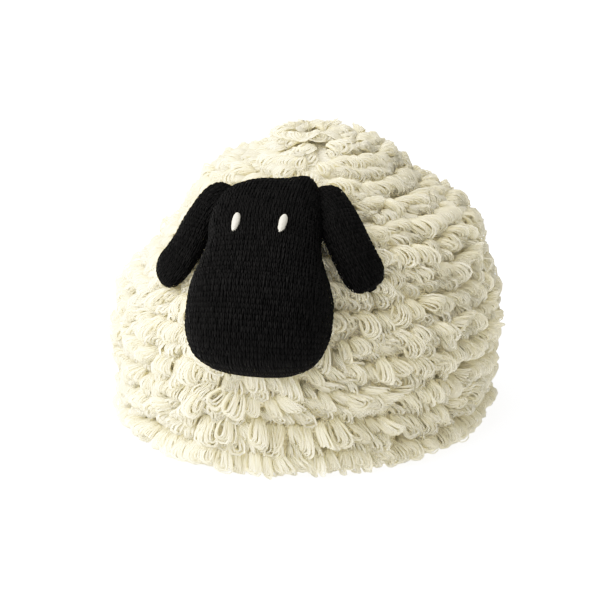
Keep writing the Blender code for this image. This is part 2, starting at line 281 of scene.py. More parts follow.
def make_studio(light, shown):
    """A white room that lights the cover softly, and looks as white as the floor behind it."""
    world = bpy.data.worlds.new("studio")
    world.use_nodes = True
    tree = world.node_tree
    room = tree.nodes["Background"]
    room.inputs["Color"].default_value = (1, 1, 1, 1)
    seen = tree.nodes.new("ShaderNodeLightPath")
    strength = tree.nodes.new("ShaderNodeMapRange")
    strength.inputs["To Min"].default_value = light
    strength.inputs["To Max"].default_value = shown
    tree.links.new(seen.outputs["Is Camera Ray"], strength.inputs["Value"])
    tree.links.new(strength.outputs["Result"], room.inputs["Strength"])
    bpy.context.scene.world = world
    return world


studio = make_studio(light=0.47, shown=1.6)
print("room:", studio.name)

# %% [markdown]
# ### How bright light is drawn
# White yarn in a bright room soon turns into one plain white patch. The view settings hold a film curve
# that can prevent it: it leaves the shade as it is and bends gently towards white, so the strands that face
# the light keep their edges. Less light would keep them too, but the whole cover would look grey.

# %% The response to light
# the brightness in the scene, and what is drawn for it: straight in the shade, and gentler towards white
RESPONSE = [(0.2, 0.21), (0.4, 0.42), (0.6, 0.585), (0.8, 0.72), (1.0, 0.83), (1.2, 0.92), (1.4, 0.985)]
RESPONSE_WHITE = 1.5


def soften_highlights():
    view = bpy.context.scene.view_settings
    view.view_transform = "Standard"
    view.use_curve_mapping = True
    film = view.curve_mapping
    film.white_level = [RESPONSE_WHITE] * 3
    for light, shown in RESPONSE:
        film.curves[3].points.new(light / RESPONSE_WHITE, shown)
    film.update()


soften_highlights()
print("brightness", RESPONSE_WHITE, "is drawn white")

# %% [markdown]
# ## The finishes
# A finish is a small sum: colours that vary, and a height that lifts or lowers the surface. Blender adds
# one node for each step of such a sum. A small class lets the sum be written in Python instead, and it
# adds the nodes by itself.

# %% Sums written as Python


class Wire:
    """A node's output that can be used in a sum."""

    def __init__(self, finish, socket):
        self.finish = finish
        self.socket = socket

    def math(self, operation, *others):
        values = dict(enumerate((self, *others)))
        return self.finish.add("ShaderNodeMath", {"operation": operation}, values)

    def reflected(self, operation, other):
        return self.finish.add("ShaderNodeMath", {"operation": operation}, {0: other, 1: self})

    def __add__(self, other):
        return self.math("ADD", other)

    def __radd__(self, other):
        return self.reflected("ADD", other)

    def __sub__(self, other):
        return self.math("SUBTRACT", other)

    def __rsub__(self, other):
        return self.reflected("SUBTRACT", other)

    def __mul__(self, other):
        return self.math("MULTIPLY", other)

    def __rmul__(self, other):
        return self.reflected("MULTIPLY", other)

    def wave(self):
        """A soft wave from 0 to 1 and back, once for each whole step of the value."""
        return (self * FULL_TURN).math("SINE") * 0.5 + 0.5

    def size(self):
        """The value without its sign."""
        return self.math("ABSOLUTE")

    def fraction(self):
        return self.math("FRACT")

    def held(self):
        """The value kept between 0 and 1."""
        return self.math("MINIMUM", 1.0).math("MAXIMUM", 0.0)


class Finish:
    """One material while it is made, with one method that adds any node."""

    def __init__(self, name, roughness, specular, sheen=0.0):
        self.material = bpy.data.materials.new(name)
        self.material.use_nodes = True
        self.tree = self.material.node_tree
        self.surface = self.tree.nodes["Principled BSDF"]
        self.surface.inputs["Roughness"].default_value = roughness
        self.surface.inputs["Sheen Weight"].default_value = sheen
        self.surface.inputs["Specular IOR Level"].default_value = specular

    def add(self, kind, settings=None, values=None, output=0):
        node = self.tree.nodes.new(kind)
        for key, setting in (settings or {}).items():
            setattr(node, key, setting)
        for key, value in (values or {}).items():
            if isinstance(value, Wire):
                self.tree.links.new(value.socket, node.inputs[key])
            else:
                node.inputs[key].default_value = value
        return Wire(self, node.outputs[output])

    def attribute(self, name):
        return self.add("ShaderNodeAttribute", {"attribute_name": name}, output="Fac")

    def uv(self):
        """The two parts of the piece's own UV map."""
        place = self.add("ShaderNodeUVMap", {"uv_map": "UVMap"})
        split = self.add("ShaderNodeSeparateXYZ", None, {"Vector": place})
        return split, Wire(self, split.socket.node.outputs["Y"])

    def noise(self, scale, detail):
        place = self.add("ShaderNodeTexCoord", output="Object")
        return self.add("ShaderNodeTexNoise", None, {"Vector": place, "Scale": scale, "Detail": detail})

    def mix(self, share, first, second):
        """A colour between two colours. A Mix node keeps its colour sockets at places 6, 7 and, out, 2."""
        return self.add("ShaderNodeMix", {"data_type": "RGBA"}, {0: share, 6: first, 7: second}, output=2)

    def feed(self, socket_name, wire):
        self.tree.links.new(wire.socket, self.surface.inputs[socket_name])

    def raise_by(self, height, distance, strength=1.0):
        values = {"Height": height, "Distance": distance, "Strength": strength}
        self.feed("Normal", self.add("ShaderNodeBump", None, values))

    def let_light_through(self, share, color):
        """Light that falls on the back of a strand comes through to its front."""
        front = Wire(self, self.surface.outputs[0])
        through = self.add("ShaderNodeBsdfTranslucent", None, {"Color": color})
        both = self.add("ShaderNodeMixShader", None, {0: share, 1: front, 2: through})
        output = next(node for node in self.tree.nodes if node.type == "OUTPUT_MATERIAL")
        self.tree.links.new(both.socket, output.inputs["Surface"])


# %% [markdown]
# ### Cream wool
# The strand is two thin plies twisted together. Its tips catch the light, and near its root it is painted
# yellower, as the shade of light that reaches it only through other wool. Each loop carries its own tone and
# its distance from the root, the mask of that painted shade, as attributes, so the finish can read both.
# Real yarn is mostly air, and light goes right through it, so most of this finish is translucent. The twist
# is drawn by a wave on the UV map, and its furrows are painted a little darker as shade.

# %% Cream wool
CREAM_DULL, CREAM_CLEAR = (0.95, 0.93, 0.84, 1), (0.98, 0.97, 0.92, 1)
CREAM_ROOT_SHADE = (0.95, 0.89, 0.66, 1)
CREAM_PLY_SHADE = (0.80, 0.74, 0.55, 1)
THROUGH_CREAM = (1.0, 0.977, 0.883, 1)


def make_wool():
    wool = Finish("cream_wool", roughness=0.85, specular=0.2, sheen=0.5)
    along, around = wool.uv()
    ply = (along + around).wave()
    tip = wool.mix(wool.attribute("tone"), CREAM_DULL, CREAM_CLEAR)
    # painted shade: each loop is yellower towards its root
    strand = wool.mix(wool.attribute("root_shade"), tip, CREAM_ROOT_SHADE)
    # painted shade: the furrows of the twist are a little darker
    wool.feed("Base Color", wool.mix((1 - ply) * 0.06, strand, CREAM_PLY_SHADE))
    wool.raise_by(ply, 0.08 * MM, 0.5)
    wool.let_light_through(0.88, THROUGH_CREAM)
    return wool.material


wool = make_wool()
print("finish:", wool.name, "with", len(wool.node_tree.nodes), "nodes")

# %% [markdown]
# ### The backing's wool
# The backing shows inside the cosy and in its slits. Its stitches are small and lie flat, so they can be a
# pattern instead of a mesh: columns across the UV map, and in each column a wave that leans to both sides.
# The low parts of the pattern are painted darker as shade, and a fine noise varies the tone at random.

# %% The backing's wool
BACKING_HOLLOW_SHADE, BACKING_STITCH = (0.82, 0.76, 0.55, 1), (0.94, 0.89, 0.72, 1)


def make_backing_wool():
    wool = Finish("backing_wool", roughness=0.9, specular=0.2, sheen=0.2)
    across, up = wool.uv()
    column = (across.fraction() - 0.5).size() * 2
    stitch = (up + column * 0.5).wave()
    height = stitch * 0.6 + (1 - column) * column * 1.6
    fibre = wool.noise(900, 3)
    # painted shade: lower in the stitch pattern is darker, mixed with a random tone from the noise
    shade = (height * 0.6 + fibre * 0.4).held()
    wool.feed("Base Color", wool.mix(shade, BACKING_HOLLOW_SHADE, BACKING_STITCH))
    wool.raise_by(height + fibre * 0.3, 0.8 * MM)
    return wool.material


backing_wool = make_backing_wool()
print("finish:", backing_wool.name, "with", len(backing_wool.node_tree.nodes), "nodes")

# %% [markdown]
# ### Black knitting and white thread
# Black yarn gives back almost no light, and what shows its stitches is a faint shine on each strand. So the
# colour is nearly nothing, and the relief and a weak shine do most of the work; each leg of a stitch has a
# random tone, and the skin between the stitches is painted plain black as shade. The thread of the eyes is
# smooth and tightly laid, and the furrows of its twist are painted darker as shade. The cosy stands on pale
# paper, which glows a little, so that it runs out into the white of the room.

# %% Black knitting and white thread
BLACK, BLACK_STITCH_TONE = (0.0, 0.0, 0.0, 1), (0.0046, 0.0044, 0.0043, 1)
THREAD_PLY_SHADE, THREAD_WHITE = (0.42, 0.40, 0.34, 1), (0.52, 0.50, 0.44, 1)
PAPER_DULL, PAPER_WHITE = (0.60, 0.60, 0.60, 1), (0.63, 0.63, 0.63, 1)
PAPER_GLOW = 1.05


def make_black_knit():
    knit = Finish("black_knit", roughness=0.6, specular=0.035)
    tone = knit.attribute("tone")
    fibre = knit.noise(2600, 3)
    # each leg's random tone lightens it a little; the skin has no tone, so it is painted plain black as
    # shade between the stitches
    knit.feed("Base Color", knit.mix((tone * 0.75 + fibre * 0.25).held(), BLACK, BLACK_STITCH_TONE))
    knit.raise_by(fibre, 0.25 * MM, 0.7)
    return knit.material


def make_white_thread():
    thread = Finish("white_thread", roughness=0.5, specular=0.35, sheen=0.1)
    along, around = thread.uv()
    ply = (along + around).wave()
    # painted shade: the furrows of the thread's twist are darker
    thread.feed("Base Color", thread.mix(ply, THREAD_PLY_SHADE, THREAD_WHITE))
    thread.raise_by(ply, 0.1 * MM, 0.5)
    return thread.material


def make_floor_finish():
    paper = Finish("pale_floor", roughness=0.9, specular=0.1)
    paper.feed("Base Color", paper.mix(paper.noise(60, 2), PAPER_DULL, PAPER_WHITE))
    paper.surface.inputs["Emission Color"].default_value = (1, 1, 1, 1)
    paper.surface.inputs["Emission Strength"].default_value = PAPER_GLOW
    return paper.material


black_knit = make_black_knit()
white_thread = make_white_thread()
floor.data.materials.append(make_floor_finish())
print("finishes:", [material.name for material in (black_knit, white_thread, *floor.data.materials)])

# %% [markdown]
# ## Many small parts in one mesh
# Thousands of loops are far too many to make one by one with tools. They are one shape that repeats, so
# their points are worked out together as an array, and one mesh takes them all. A helper turns such an
# array into a piece, gives it its finish, and hides the solid that it stands for.

# %% From arrays to a piece


def finish_piece(obj, material, slot, *nodes):
    """Gives a piece its finish, says what it rides on, and hides the solids that it stands for."""
    obj.data.materials.clear()
    obj.data.materials.append(material)
    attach(obj, "root")
    if nodes:
        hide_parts(*nodes)
    return obj


def piece_from_arrays(name, points, faces, uvs=None, attributes=None):
    """A smooth mesh from arrays: each array of faces has rows of point numbers, and uvs a row a corner."""
    faces = faces if isinstance(faces, list) else [faces]
    mesh = bpy.data.meshes.new(name)
    corners = np.concatenate([rows.ravel() for rows in faces]).astype(np.int32)
    sizes = np.concatenate([np.full(len(rows), rows.shape[1]) for rows in faces])
    mesh.vertices.add(len(points))
    mesh.vertices.foreach_set("co", points.astype(np.float32).ravel())
    mesh.loops.add(len(corners))
    mesh.loops.foreach_set("vertex_index", corners)
    mesh.polygons.add(len(sizes))
    mesh.polygons.foreach_set("loop_start", (np.cumsum(sizes) - sizes).astype(np.int32))
    if uvs is not None:
        layer = mesh.uv_layers.new(name="UVMap")
        layer.data.foreach_set("uv", uvs.astype(np.float32).ravel())
    for key, values in (attributes or {}).items():
        attribute = mesh.attributes.new(key, "FLOAT", "POINT")
        attribute.data.foreach_set("value", values.astype(np.float32).ravel())
    mesh.update(calc_edges=True)
    mesh.shade_smooth()
    obj = bpy.data.objects.new(name, mesh)
    bpy.context.scene.collection.objects.link(obj)
    return obj


# %% [markdown]
# ### A strand that closes on itself
# A loop of yarn, a bound edge and a ring are all a tube round a closed line. The tube's sides need a
# direction to count from. The plane that the line lies in gives it, so no tube is twisted in itself.

# %% Closed tubes


def tube_wall(centres, outward, sideways, radius, sides):
    """The points of a tube's wall, as many round each centre as it has sides."""
    angles = FULL_TURN * (np.arange(sides) + 0.5) / sides
    ring = np.cos(angles)[:, None] * outward[:, :, None] + np.sin(angles)[:, None] * sideways[:, :, None]
    return centres[:, :, None] + radius[..., None, None] * ring


def closed_rings(centres, radius, sides, twist_turns):
    """Tubes that close on themselves, one for each row of centres: points, faces and UVs."""
    count, ring = centres.shape[:2]
    ahead = unit(np.roll(centres, -1, axis=1) - np.roll(centres, 1, axis=1))
    wide = centres[:, ring // 4] - centres[:, -(ring // 4)]
    plane = unit(np.cross(wide, centres[:, ring // 2] - centres[:, 0]))
    outward = unit(np.cross(ahead, plane[:, None]))
    points = tube_wall(centres, outward, np.cross(ahead, outward), radius, sides)
    base = np.arange(count)[:, None, None] * ring * sides
    k, j = np.meshgrid(np.arange(ring), np.arange(sides), indexing="ij")
    k2, j2 = (k + 1) % ring, (j + 1) % sides
    quad = np.stack([k * sides + j, k * sides + j2, k2 * sides + j2, k2 * sides + j], axis=-1)
    faces = (base[..., None] + quad).reshape(-1, 4)
    u = np.stack([k, k, k + 1, k + 1], axis=-1) / ring * twist_turns
    v = np.stack([j, j + 1, j + 1, j], axis=-1) / sides
    uvs = np.broadcast_to(np.stack([u, v], axis=-1), (count, ring, sides, 4, 2))
    return points.reshape(-1, 3), faces, uvs.reshape(-1, 2)


# %% [markdown]
# ## The knitted backing
# Under the pile is a plain knitted dome, a sheet 4 mm thick, with an open hem and a slit on each side for
# the spout and the handle. It could be a lathed outline with a boolean for each slit, but booleans leave
# ragged faces. The upper half of a sphere is a better start, because its rings already close at the crown.
# The rings are spread along the outline, the faces inside each slit are taken out, and the edge points that
# remain are drawn to the slit's own curve. Solidify then gives the sheet its thickness.

# %% The dome of the backing
BACKING_DEPTH = 7.6 * MM
BACKING_THICKNESS = 4.0 * MM
BACKING_COLUMNS = 128
BACKING_ROWS = 48
# how high the hem stands over the floor, and what is left of the outline's length at the crown
BACKING_HEM, CROWN_GAP = 1.2 * MM, 0.5 * MM
# the size of one stitch, and the radius that the columns are counted at
KNIT_ACROSS, KNIT_UP = 3.0 * MM, 2.4 * MM
KNIT_RADIUS = 100 * MM


def spread_along_outline(bm):
    """Moves the points of half a sphere to the backing, and says the turn and the length of each."""
    turns = np.array([math.atan2(v.co.y, v.co.x) for v in bm.verts])
    shares = np.array([math.asin(max(-1, min(1, v.co.z))) / (math.pi / 2) for v in bm.verts])
    alongs = np.maximum(shares, 0) * (outline_path.length - CROWN_GAP)
    places = cover_point(turns, alongs, BACKING_DEPTH)
    places[alongs < 1e-6, 2] = BACKING_HEM
    for vert, place in zip(bm.verts, places):
        vert.co = place
    return turns, alongs


def lay_out_knitting(bm, turns, alongs):
    """Writes the UV map: one whole step for each column of stitches, and one for each course."""
    uv = bm.loops.layers.uv.verify()
    columns = round(FULL_TURN * KNIT_RADIUS / KNIT_ACROSS)
    for face in bm.faces:
        first = turns[face.loops[0].vert.index]
        for loop in face.loops:
            turn = turns[loop.vert.index]
            turn += FULL_TURN * round((first - turn) / FULL_TURN)
            loop[uv].uv = (turn / FULL_TURN * columns, alongs[loop.vert.index] / KNIT_UP)


print("one column of the backing is", KNIT_ACROSS / MM, "mm wide")

# %% The slits
# side, height, half width and half height of each slit
SLITS = {"spout": (-1, 86, 15, 28), "handle": (1, 94, 9.5, 38)}
# 2 would make a slit an ellipse, and less makes its ends more pointed
SLIT_ROUNDNESS = 1.6
# what a point on the other side of the cover gets, and how often an edge is drawn or smoothed
NOT_NEAR, PASSES = 9.0, 6


def slit_share(points, slit):
    """How far each point is from a slit's middle, where 1 is the slit's edge."""
    side, height, half_width, half_height = slit
    wide = np.abs(points[..., 1] - AXIS[1]) / (half_width * MM)
    high = (points[..., 2] - height * MM) / (half_height * MM)
    share = np.sqrt(wide ** SLIT_ROUNDNESS + high ** 2)
    return np.where(points[..., 0] * side > 0, share, NOT_NEAR)


def cut_slits(bm):
    """Takes out the faces inside each slit, and draws the points round the gap to the slit's edge."""
    for slit in SLITS.values():
        centres = np.array([face.calc_center_median() for face in bm.faces])
        gone = [face for face, share in zip(bm.faces, slit_share(centres, slit)) if share < 1]
        bmesh.ops.delete(bm, geom=gone, context="FACES")
        rim = {v for e in bm.edges if e.is_boundary for v in e.verts}
        for vert in rim:
            if float(slit_share(np.array(vert.co), slit)) < 2:
                draw_to_slit(vert, slit)
    bmesh.ops.delete(bm, geom=[v for v in bm.verts if not v.link_faces], context="VERTS")


def draw_to_slit(vert, slit):
    """Moves an edge point to the slit's curve, along the line from the slit's middle."""
    height = slit[1] * MM
    wide, high = vert.co.y - AXIS[1], vert.co.z - height
    for _ in range(PASSES):
        share = float(slit_share(np.array((vert.co.x, AXIS[1] + wide, height + high)), slit))
        wide, high = wide / share, high / share
    vert.co.y = AXIS[1] + wide
    vert.co.z = height + high


print("slits:", {name: f"{2 * slit[2]} x {2 * slit[3]} mm" for name, slit in SLITS.items()})

# %% The finished backing


def thicken(obj):
    modifier = obj.modifiers.new("thickness", "SOLIDIFY")
    modifier.thickness = BACKING_THICKNESS
    modifier.offset = -1
    bpy.context.view_layer.objects.active = obj
    bpy.ops.object.modifier_apply(modifier=modifier.name)
    obj.data.shade_smooth()


def make_backing():
    """The whole backing, from the upper half of a sphere."""
    deselect_all()
    bpy.ops.mesh.primitive_uv_sphere_add(segments=BACKING_COLUMNS, ring_count=2 * BACKING_ROWS, radius=1)
    obj = bpy.context.active_object
    obj.name = "backing_knit"
    bm = bmesh.new()
    bm.from_mesh(obj.data)
    lower_half = [v for v in bm.verts if v.co.z < -1e-4]
    bmesh.ops.delete(bm, geom=lower_half, context="VERTS")
    lay_out_knitting(bm, *spread_along_outline(bm))
    cut_slits(bm)
    bm.to_mesh(obj.data)
    bm.free()
    thicken(obj)
    return obj


backing = finish_piece(make_backing(), backing_wool, "cream_wool", "cosy_body")
print("backing:", len(backing.data.polygons), "faces")

# %% [markdown]
# ## The pile
# Every loop is one strand that leaves the backing, bows outwards, hangs down and comes back to its root,
# so as a mesh it is a ring that closes on itself. It could be hair, but an export would lose hair, and a
# plain bumpy surface would have no gaps. Strands go in bunches: those of one bunch share their lean and
# their twist, and nest inside each other. Bunches next to each other lean alike, which makes the curls and
# clumps of a real pile. Each tier is a piece of its own.
#
# The head and the ears lie on the pile and press it down, so the loops need to know where they are. The
# solids of the head and the ears are closed shapes, and a search tree finds the nearest spot on each.

# %% What keeps clear of the pile
PILE_CLEARANCE = 0.9 * MM
# how far from the head a loop still minds it, and how far the nearest spot is looked for
HEAD_REACH, SEARCH_REACH = 12 * MM, 30 * MM
# a loop with more than this many of its points inside the head is left out
POINTS_INSIDE = 4
# the head can only be near what is higher than this, on the cover's front
HEAD_FOOT = 50 * MM
head_solids = {name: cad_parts[name] for name in ("head", "ear_left", "ear_right")}


def tree_of(obj):
    bm = bmesh.new()
    bm.from_mesh(obj.data)
    tree = BVHTree.FromBMesh(bm)
    bm.free()
    return tree


head_trees = {name: tree_of(obj) for name, obj in head_solids.items()}


def press_out(loop, tree):
    """Moves a loop's points out of one solid, and says how many were inside it."""
    inside = 0
    for k, point in enumerate(loop):
        spot, normal, _, distance = tree.find_nearest(Vector(point), SEARCH_REACH)
        if spot is None:
            continue
        away = (Vector(point) - spot).dot(normal)
        inside += away < 0
        if away < PILE_CLEARANCE and distance < HEAD_REACH:
            loop[k] = spot + normal * PILE_CLEARANCE
    return inside


def settle_round_head(centres):
    """Loops under the head are left out, and those beside it are pressed out of it."""
    keep = np.ones(len(centres), bool)
    near = ((centres[..., 1] < 0.0) & (centres[..., 2] > HEAD_FOOT)).any(axis=1)
    for i in np.nonzero(near)[0]:
        for tree in head_trees.values():
            if press_out(centres[i], tree) > POINTS_INSIDE:
                keep[i] = False
    return centres, keep


print("the pile keeps clear of", list(head_trees))

# %% [markdown]
# ### One loop
# Laid flat, a loop is a narrow drop: two strands side by side that meet at the root and at the tip. Its
# slope says the rest. At the root it stands straight out of the backing, and it falls off along the length
# until the tip hangs down. Adding the slope up along the length gives the arch.

# %% The shape of a loop
STRAND_RADIUS, FILL_RADIUS = 0.61 * MM, 0.9 * MM
ROOT_DEPTH = 7.4 * MM
# how fast a loop's slope falls off from its root: the lowest tiers stand out further, and the high ones less
ARCH = 1.5
TIER_ARCH = {0: 0.8, 1: 1.15, 2: 1.35, 9: 1.6, 10: 1.7, 11: 1.7}
# how far into the backing the roots of the high tiers sit, so that their tips stay low on the shoulder
ROOT_SINK = {8: 0.8 * MM, 9: 1.5 * MM, 10: 1.8 * MM, 11: 1.8 * MM, 12: 1.0 * MM}
ARCH_STEPS = 25
# a loop's sideways reach is a turn round the axis, counted at no less than this radius near the crown
LEAST_RADIUS = 14 * MM


def loop_shape(half):
    """One loop laid flat: how far along its length and to which side each ring point is."""
    half = np.array(half)
    back = half[-2:0:-1] * (1, -1)
    return np.concatenate([half, back]).T


# from the root to the tip: the share of the length, and the share of the half width
LONG_SHAPE = loop_shape([
    (0, 0), (0.20, 0.36), (0.45, 0.74), (0.68, 0.96), (0.86, 0.92), (0.97, 0.55), (1, 0),
])
FILL_SHAPE = loop_shape([(0, 0), (0.35, 0.45), (0.70, 0.92), (0.93, 0.75), (1, 0)])


def arch(slopes, shares, length):
    """How far out and down a strand has come at these shares of its length, from its slope all along."""
    steps = slopes.shape[1] - 1
    start = np.zeros((len(slopes), 1))
    travel = [
        np.concatenate([start, np.cumsum((step[:, 1:] + step[:, :-1]) / 2, axis=1)], axis=1) / steps
        for step in (np.sin(slopes), np.cos(slopes))
    ]
    place = shares * steps
    low = np.minimum(place.astype(int), steps - 1)
    part = place - low
    return [(way[:, low] * (1 - part) + way[:, low + 1] * part) * length for way in travel]


def loop_centres(turn, along, spec, shape):
    """The middle line of each loop. spec holds one value a loop for its length, width, lean and so on."""
    a, b = shape
    column = {key: values[:, None] for key, values in spec.items()}
    fine = np.linspace(0, 1, ARCH_STEPS)
    slopes = column["stand"] * (1 - fine) ** column["arch"] - column["tuck"] * fine
    out, down = arch(slopes, a, column["length"])
    lean, twist = column["lean"] + column["curl"] * a, column["twist"]
    wide = b * column["width"] / 2
    # a bunch is narrower at its root, and as it twists its loops come to lie one behind the other
    spread = column["stack"] * (0.6 + 0.4 * a)
    across = wide * np.cos(twist) - spread * np.tanh(twist / math.radians(12)) * 0.85
    sideways = down * np.sin(lean) + across * np.cos(lean)
    hang = down * np.cos(lean) - across * np.sin(lean)
    # a twisted loop stands on its edge, so it is drawn in a little to keep the tier's height
    proud = out + 0.55 * wide * np.sin(twist) + spread * np.cos(twist) * 0.6
    proud = proud - 0.25 * a * (np.abs(np.sin(twist)) * column["width"] + np.abs(spread))
    radius = np.maximum(outline_path.at(along)[1], LEAST_RADIUS)
    depth = ROOT_DEPTH + column["sink"] - proud
    return cover_point(turn[:, None] + sideways / radius[:, None], along[:, None] - hang, depth)


print("a long loop has", LONG_SHAPE.shape[1], "rings, a fill loop", FILL_SHAPE.shape[1])

# %% [markdown]
# ### Bunches that are alike
# A hand knits every loop a little differently, but neighbours lie alike, because they rub against each
# other. So a bunch draws its lean and its twist from a slow noise that runs round the tier, and adds a small
# draw of its own. On the handle's side the bunches lean one way, and on the spout's side the other way.

# %% The draws of the bunches
# the hem's bunches lean half as much, rise only upwards, and grow no further than this
HEM_CALM, HEM_SIZE = 0.5, 1.04
# the inner loops of a bunch are shorter by up to this share, and a loop is this wide for its length
INNER_SHORTER, LOOP_WIDTH = 0.4, 0.6
# a row has no fewer bunches than this, and they are counted on no smaller a ring
LEAST_BUNCHES, LEAST_RING = 3, 3 * MM


def coherent(turn, tier, waves, seed):
    """A value from -1 to 1 that changes slowly round the tier, so that neighbours are alike."""
    spots = [Vector((waves * math.cos(t), waves * math.sin(t), 3.7 * tier + seed)) for t in turn]
    return np.clip([1.8 * noise.noise(spot) for spot in spots], -1, 1)


def way_round(turn):
    """Which way the loops lean: 1 on the handle's side, -1 on the spout's side, and smooth between them."""
    return np.clip(2.2 * np.sin(turn + math.radians(78)) + 0.9, -1, 1)


def draw_bunches(rng, turn, tier):
    """One value a bunch for each thing that its loops share. Angles are drawn in degrees."""
    count, side = len(turn), way_round(turn)
    bunch = {
        "lean": np.radians(24 * side + 32 * coherent(turn, tier, 6, 1.0) + rng.uniform(-14, 14, count)),
        "twist": np.radians(
            58 * np.tanh(2.5 * side) + 18 * coherent(turn, tier, 8, 5.0) + rng.uniform(-12, 12, count)
        ),
        "stand": np.radians(84 + 12 * coherent(turn, tier, 9, 9.0) + rng.uniform(-7, 7, count)),
        "curl": np.radians(rng.uniform(-10, 30, count)) * side,
        "tuck": np.radians(rng.uniform(0, 25, count)),
        "size": rng.uniform(0.8, 1.2, count),
        "nest": rng.uniform(0.62, 0.88, count),
        "fan": np.radians(rng.uniform(-2, 3, count)),
        "rise": (rng.uniform(-1.5, 1.5, count) + 2.2 * coherent(turn, tier, 4, 13.0)) * MM,
        "tone": rng.uniform(0, 0.6, count),
    }
    if tier == 0:
        bunch["lean"] *= HEM_CALM
        bunch["rise"] = np.abs(bunch["rise"]) * HEM_CALM
        bunch["size"] = np.minimum(bunch["size"], HEM_SIZE)
    return bunch


def draw_loops(rng, tier, row):
    """The turn, the place along the outline, the values and the tone of every loop in one row."""
    along = (tier + row["root"]) * TIER_PITCH
    radius = max(outline_path.at(along)[1] - ROOT_DEPTH / 2, LEAST_RING)
    bunches = max(LEAST_BUNCHES, round(FULL_TURN * radius / row["pitch"]))
    shift = rng.uniform(-0.3, 0.3, bunches)
    turn = FULL_TURN * (np.arange(bunches) + shift) / bunches + rng.uniform(0, 1)
    strands, length = row["strands"], row["length"]
    bunch = {key: np.repeat(values, strands) for key, values in draw_bunches(rng, turn, tier).items()}
    turn = np.repeat(turn, strands)
    n = len(turn)
    # the loops of a bunch from its outer one, at -0.5, to its inner one, at 0.5
    order = np.tile((np.arange(strands) - (strands - 1) / 2) / (strands - 1), bunches)
    inner = bunch["nest"] * (order + 0.5)
    spec = {
        "length": length * bunch["size"] * (1 - INNER_SHORTER * inner) * rng.uniform(0.96, 1.04, n),
        "width": length * LOOP_WIDTH * bunch["size"] * (1 - inner) * rng.uniform(0.95, 1.05, n),
        "lean": bunch["lean"] + bunch["fan"] * order * (strands - 1) + np.radians(rng.uniform(-3, 3, n)),
        "twist": bunch["twist"] + np.radians(rng.uniform(-4, 4, n)),
        "curl": bunch["curl"],
        "stand": bunch["stand"] + np.radians(rng.uniform(-3, 3, n)),
        "tuck": bunch["tuck"],
        "arch": np.full(n, TIER_ARCH.get(tier, ARCH)),
        "sink": np.full(n, ROOT_SINK.get(tier, 0.0)),
        "stack": order * (strands - 1) * row["apart"],
    }
    along = along + bunch["rise"] + rng.uniform(-0.2, 0.2, n) * MM
    return turn, along, spec, bunch["tone"] + rng.uniform(0, 0.4, n)


print("way round at the front, from -1 to 1:", round(float(way_round(-math.pi / 2)), 2))

# %% [markdown]
# ### From rows to a tier
# A tier has two rows of bunches. The long loops make its curls, and behind them short, thick loops fill the
# gaps, so that the backing doesn't show. Each strand also wanders a little, as crimped wool does. What would
# reach under the floor is laid on it instead.

# %% From middle lines to strands
CRIMP = 0.22 * MM
PLY_TURNS = 14
FLOOR_HEIGHT = FILL_RADIUS * 1.15
# how far out a loop's end goes for each millimetre that the floor lifts it
FLOOR_SPLAY = 0.2
# how quickly the root's painted shade, a yellower colour, fades along a loop
ROOT_SHADE_FADE = 1.5


def crimp(rng, count, ring):
    """A soft wander of each strand off its middle line, the same at both ends of the ring."""
    around = FULL_TURN * np.arange(ring) / ring
    wander = np.zeros((count, ring, 3))
    for waves, share in ((1, 0.5), (2, 0.35), (3, 0.3)):
        phase = rng.uniform(0, FULL_TURN, (count, 1, 3))
        wander += share * CRIMP * np.sin(waves * around[None, :, None] + phase)
    return wander


def lay_on_floor(centres):
    """Lifts what would be under the floor onto it, and lets it splay outwards."""
    under = np.maximum(FLOOR_HEIGHT - centres[..., 2], 0)
    outward = unit((centres - AXIS) * (1, 1, 0))
    centres = centres + outward * under[..., None] * FLOOR_SPLAY
    centres[..., 2] = np.maximum(centres[..., 2], FLOOR_HEIGHT)
    return centres


def strands_of(centres, radius, shape, sides, tone):
    """Loops as meshes in arrays: points, faces, UVs, and for each point its tone and its painted root shade.
    """
    points, faces, uvs = closed_rings(centres, radius, sides, PLY_TURNS)
    each = (*centres.shape[:2], sides)
    tones = np.broadcast_to(np.reshape(tone, (-1, 1, 1)), each)
    root_shade = np.broadcast_to(((1 - shape[0]) ** ROOT_SHADE_FADE)[None, :, None], each)
    return points, faces, uvs, tones.reshape(-1), root_shade.reshape(-1)


def make_row(rng, tier, row):
    """One row of bunches, without the loops that the slits and the head leave no room for."""
    turn, along, spec, tone = draw_loops(rng, tier, row)
    shape = row["shape"]
    ring = shape.shape[1]
    centres = loop_centres(turn, along, spec, shape) + crimp(rng, len(turn), ring)
    clear = np.ones(len(centres), bool)
    for slit in SLITS.values():
        clear &= slit_share(centres[:, 0], slit) > 1.0
    centres, keep = settle_round_head(centres)
    keep &= clear
    centres, tone = lay_on_floor(centres[keep]), tone[keep]
    radius = row["thickness"] * rng.uniform(0.85, 1.15, (len(centres), 1))
    radius = radius * rng.uniform(0.93, 1.07, (len(centres), ring))
    return strands_of(centres, radius, shape, row["sides"], tone)


def join_rows(rows):
    """The arrays of several rows as those of one mesh."""
    starts = np.cumsum([0] + [len(row[0]) for row in rows[:-1]])
    faces = np.concatenate([row[1] + start for row, start in zip(rows, starts)])
    points, uvs, tones, root_shade = (np.concatenate([row[k] for row in rows]) for k in (0, 2, 3, 4))
    return points, faces, uvs, {"tone": tones, "root_shade": root_shade}


print("a strand is twisted", PLY_TURNS, "times round its loop")

# %% The tiers, from the hem to the crown
STRAND_PITCH = 1.05 * MM
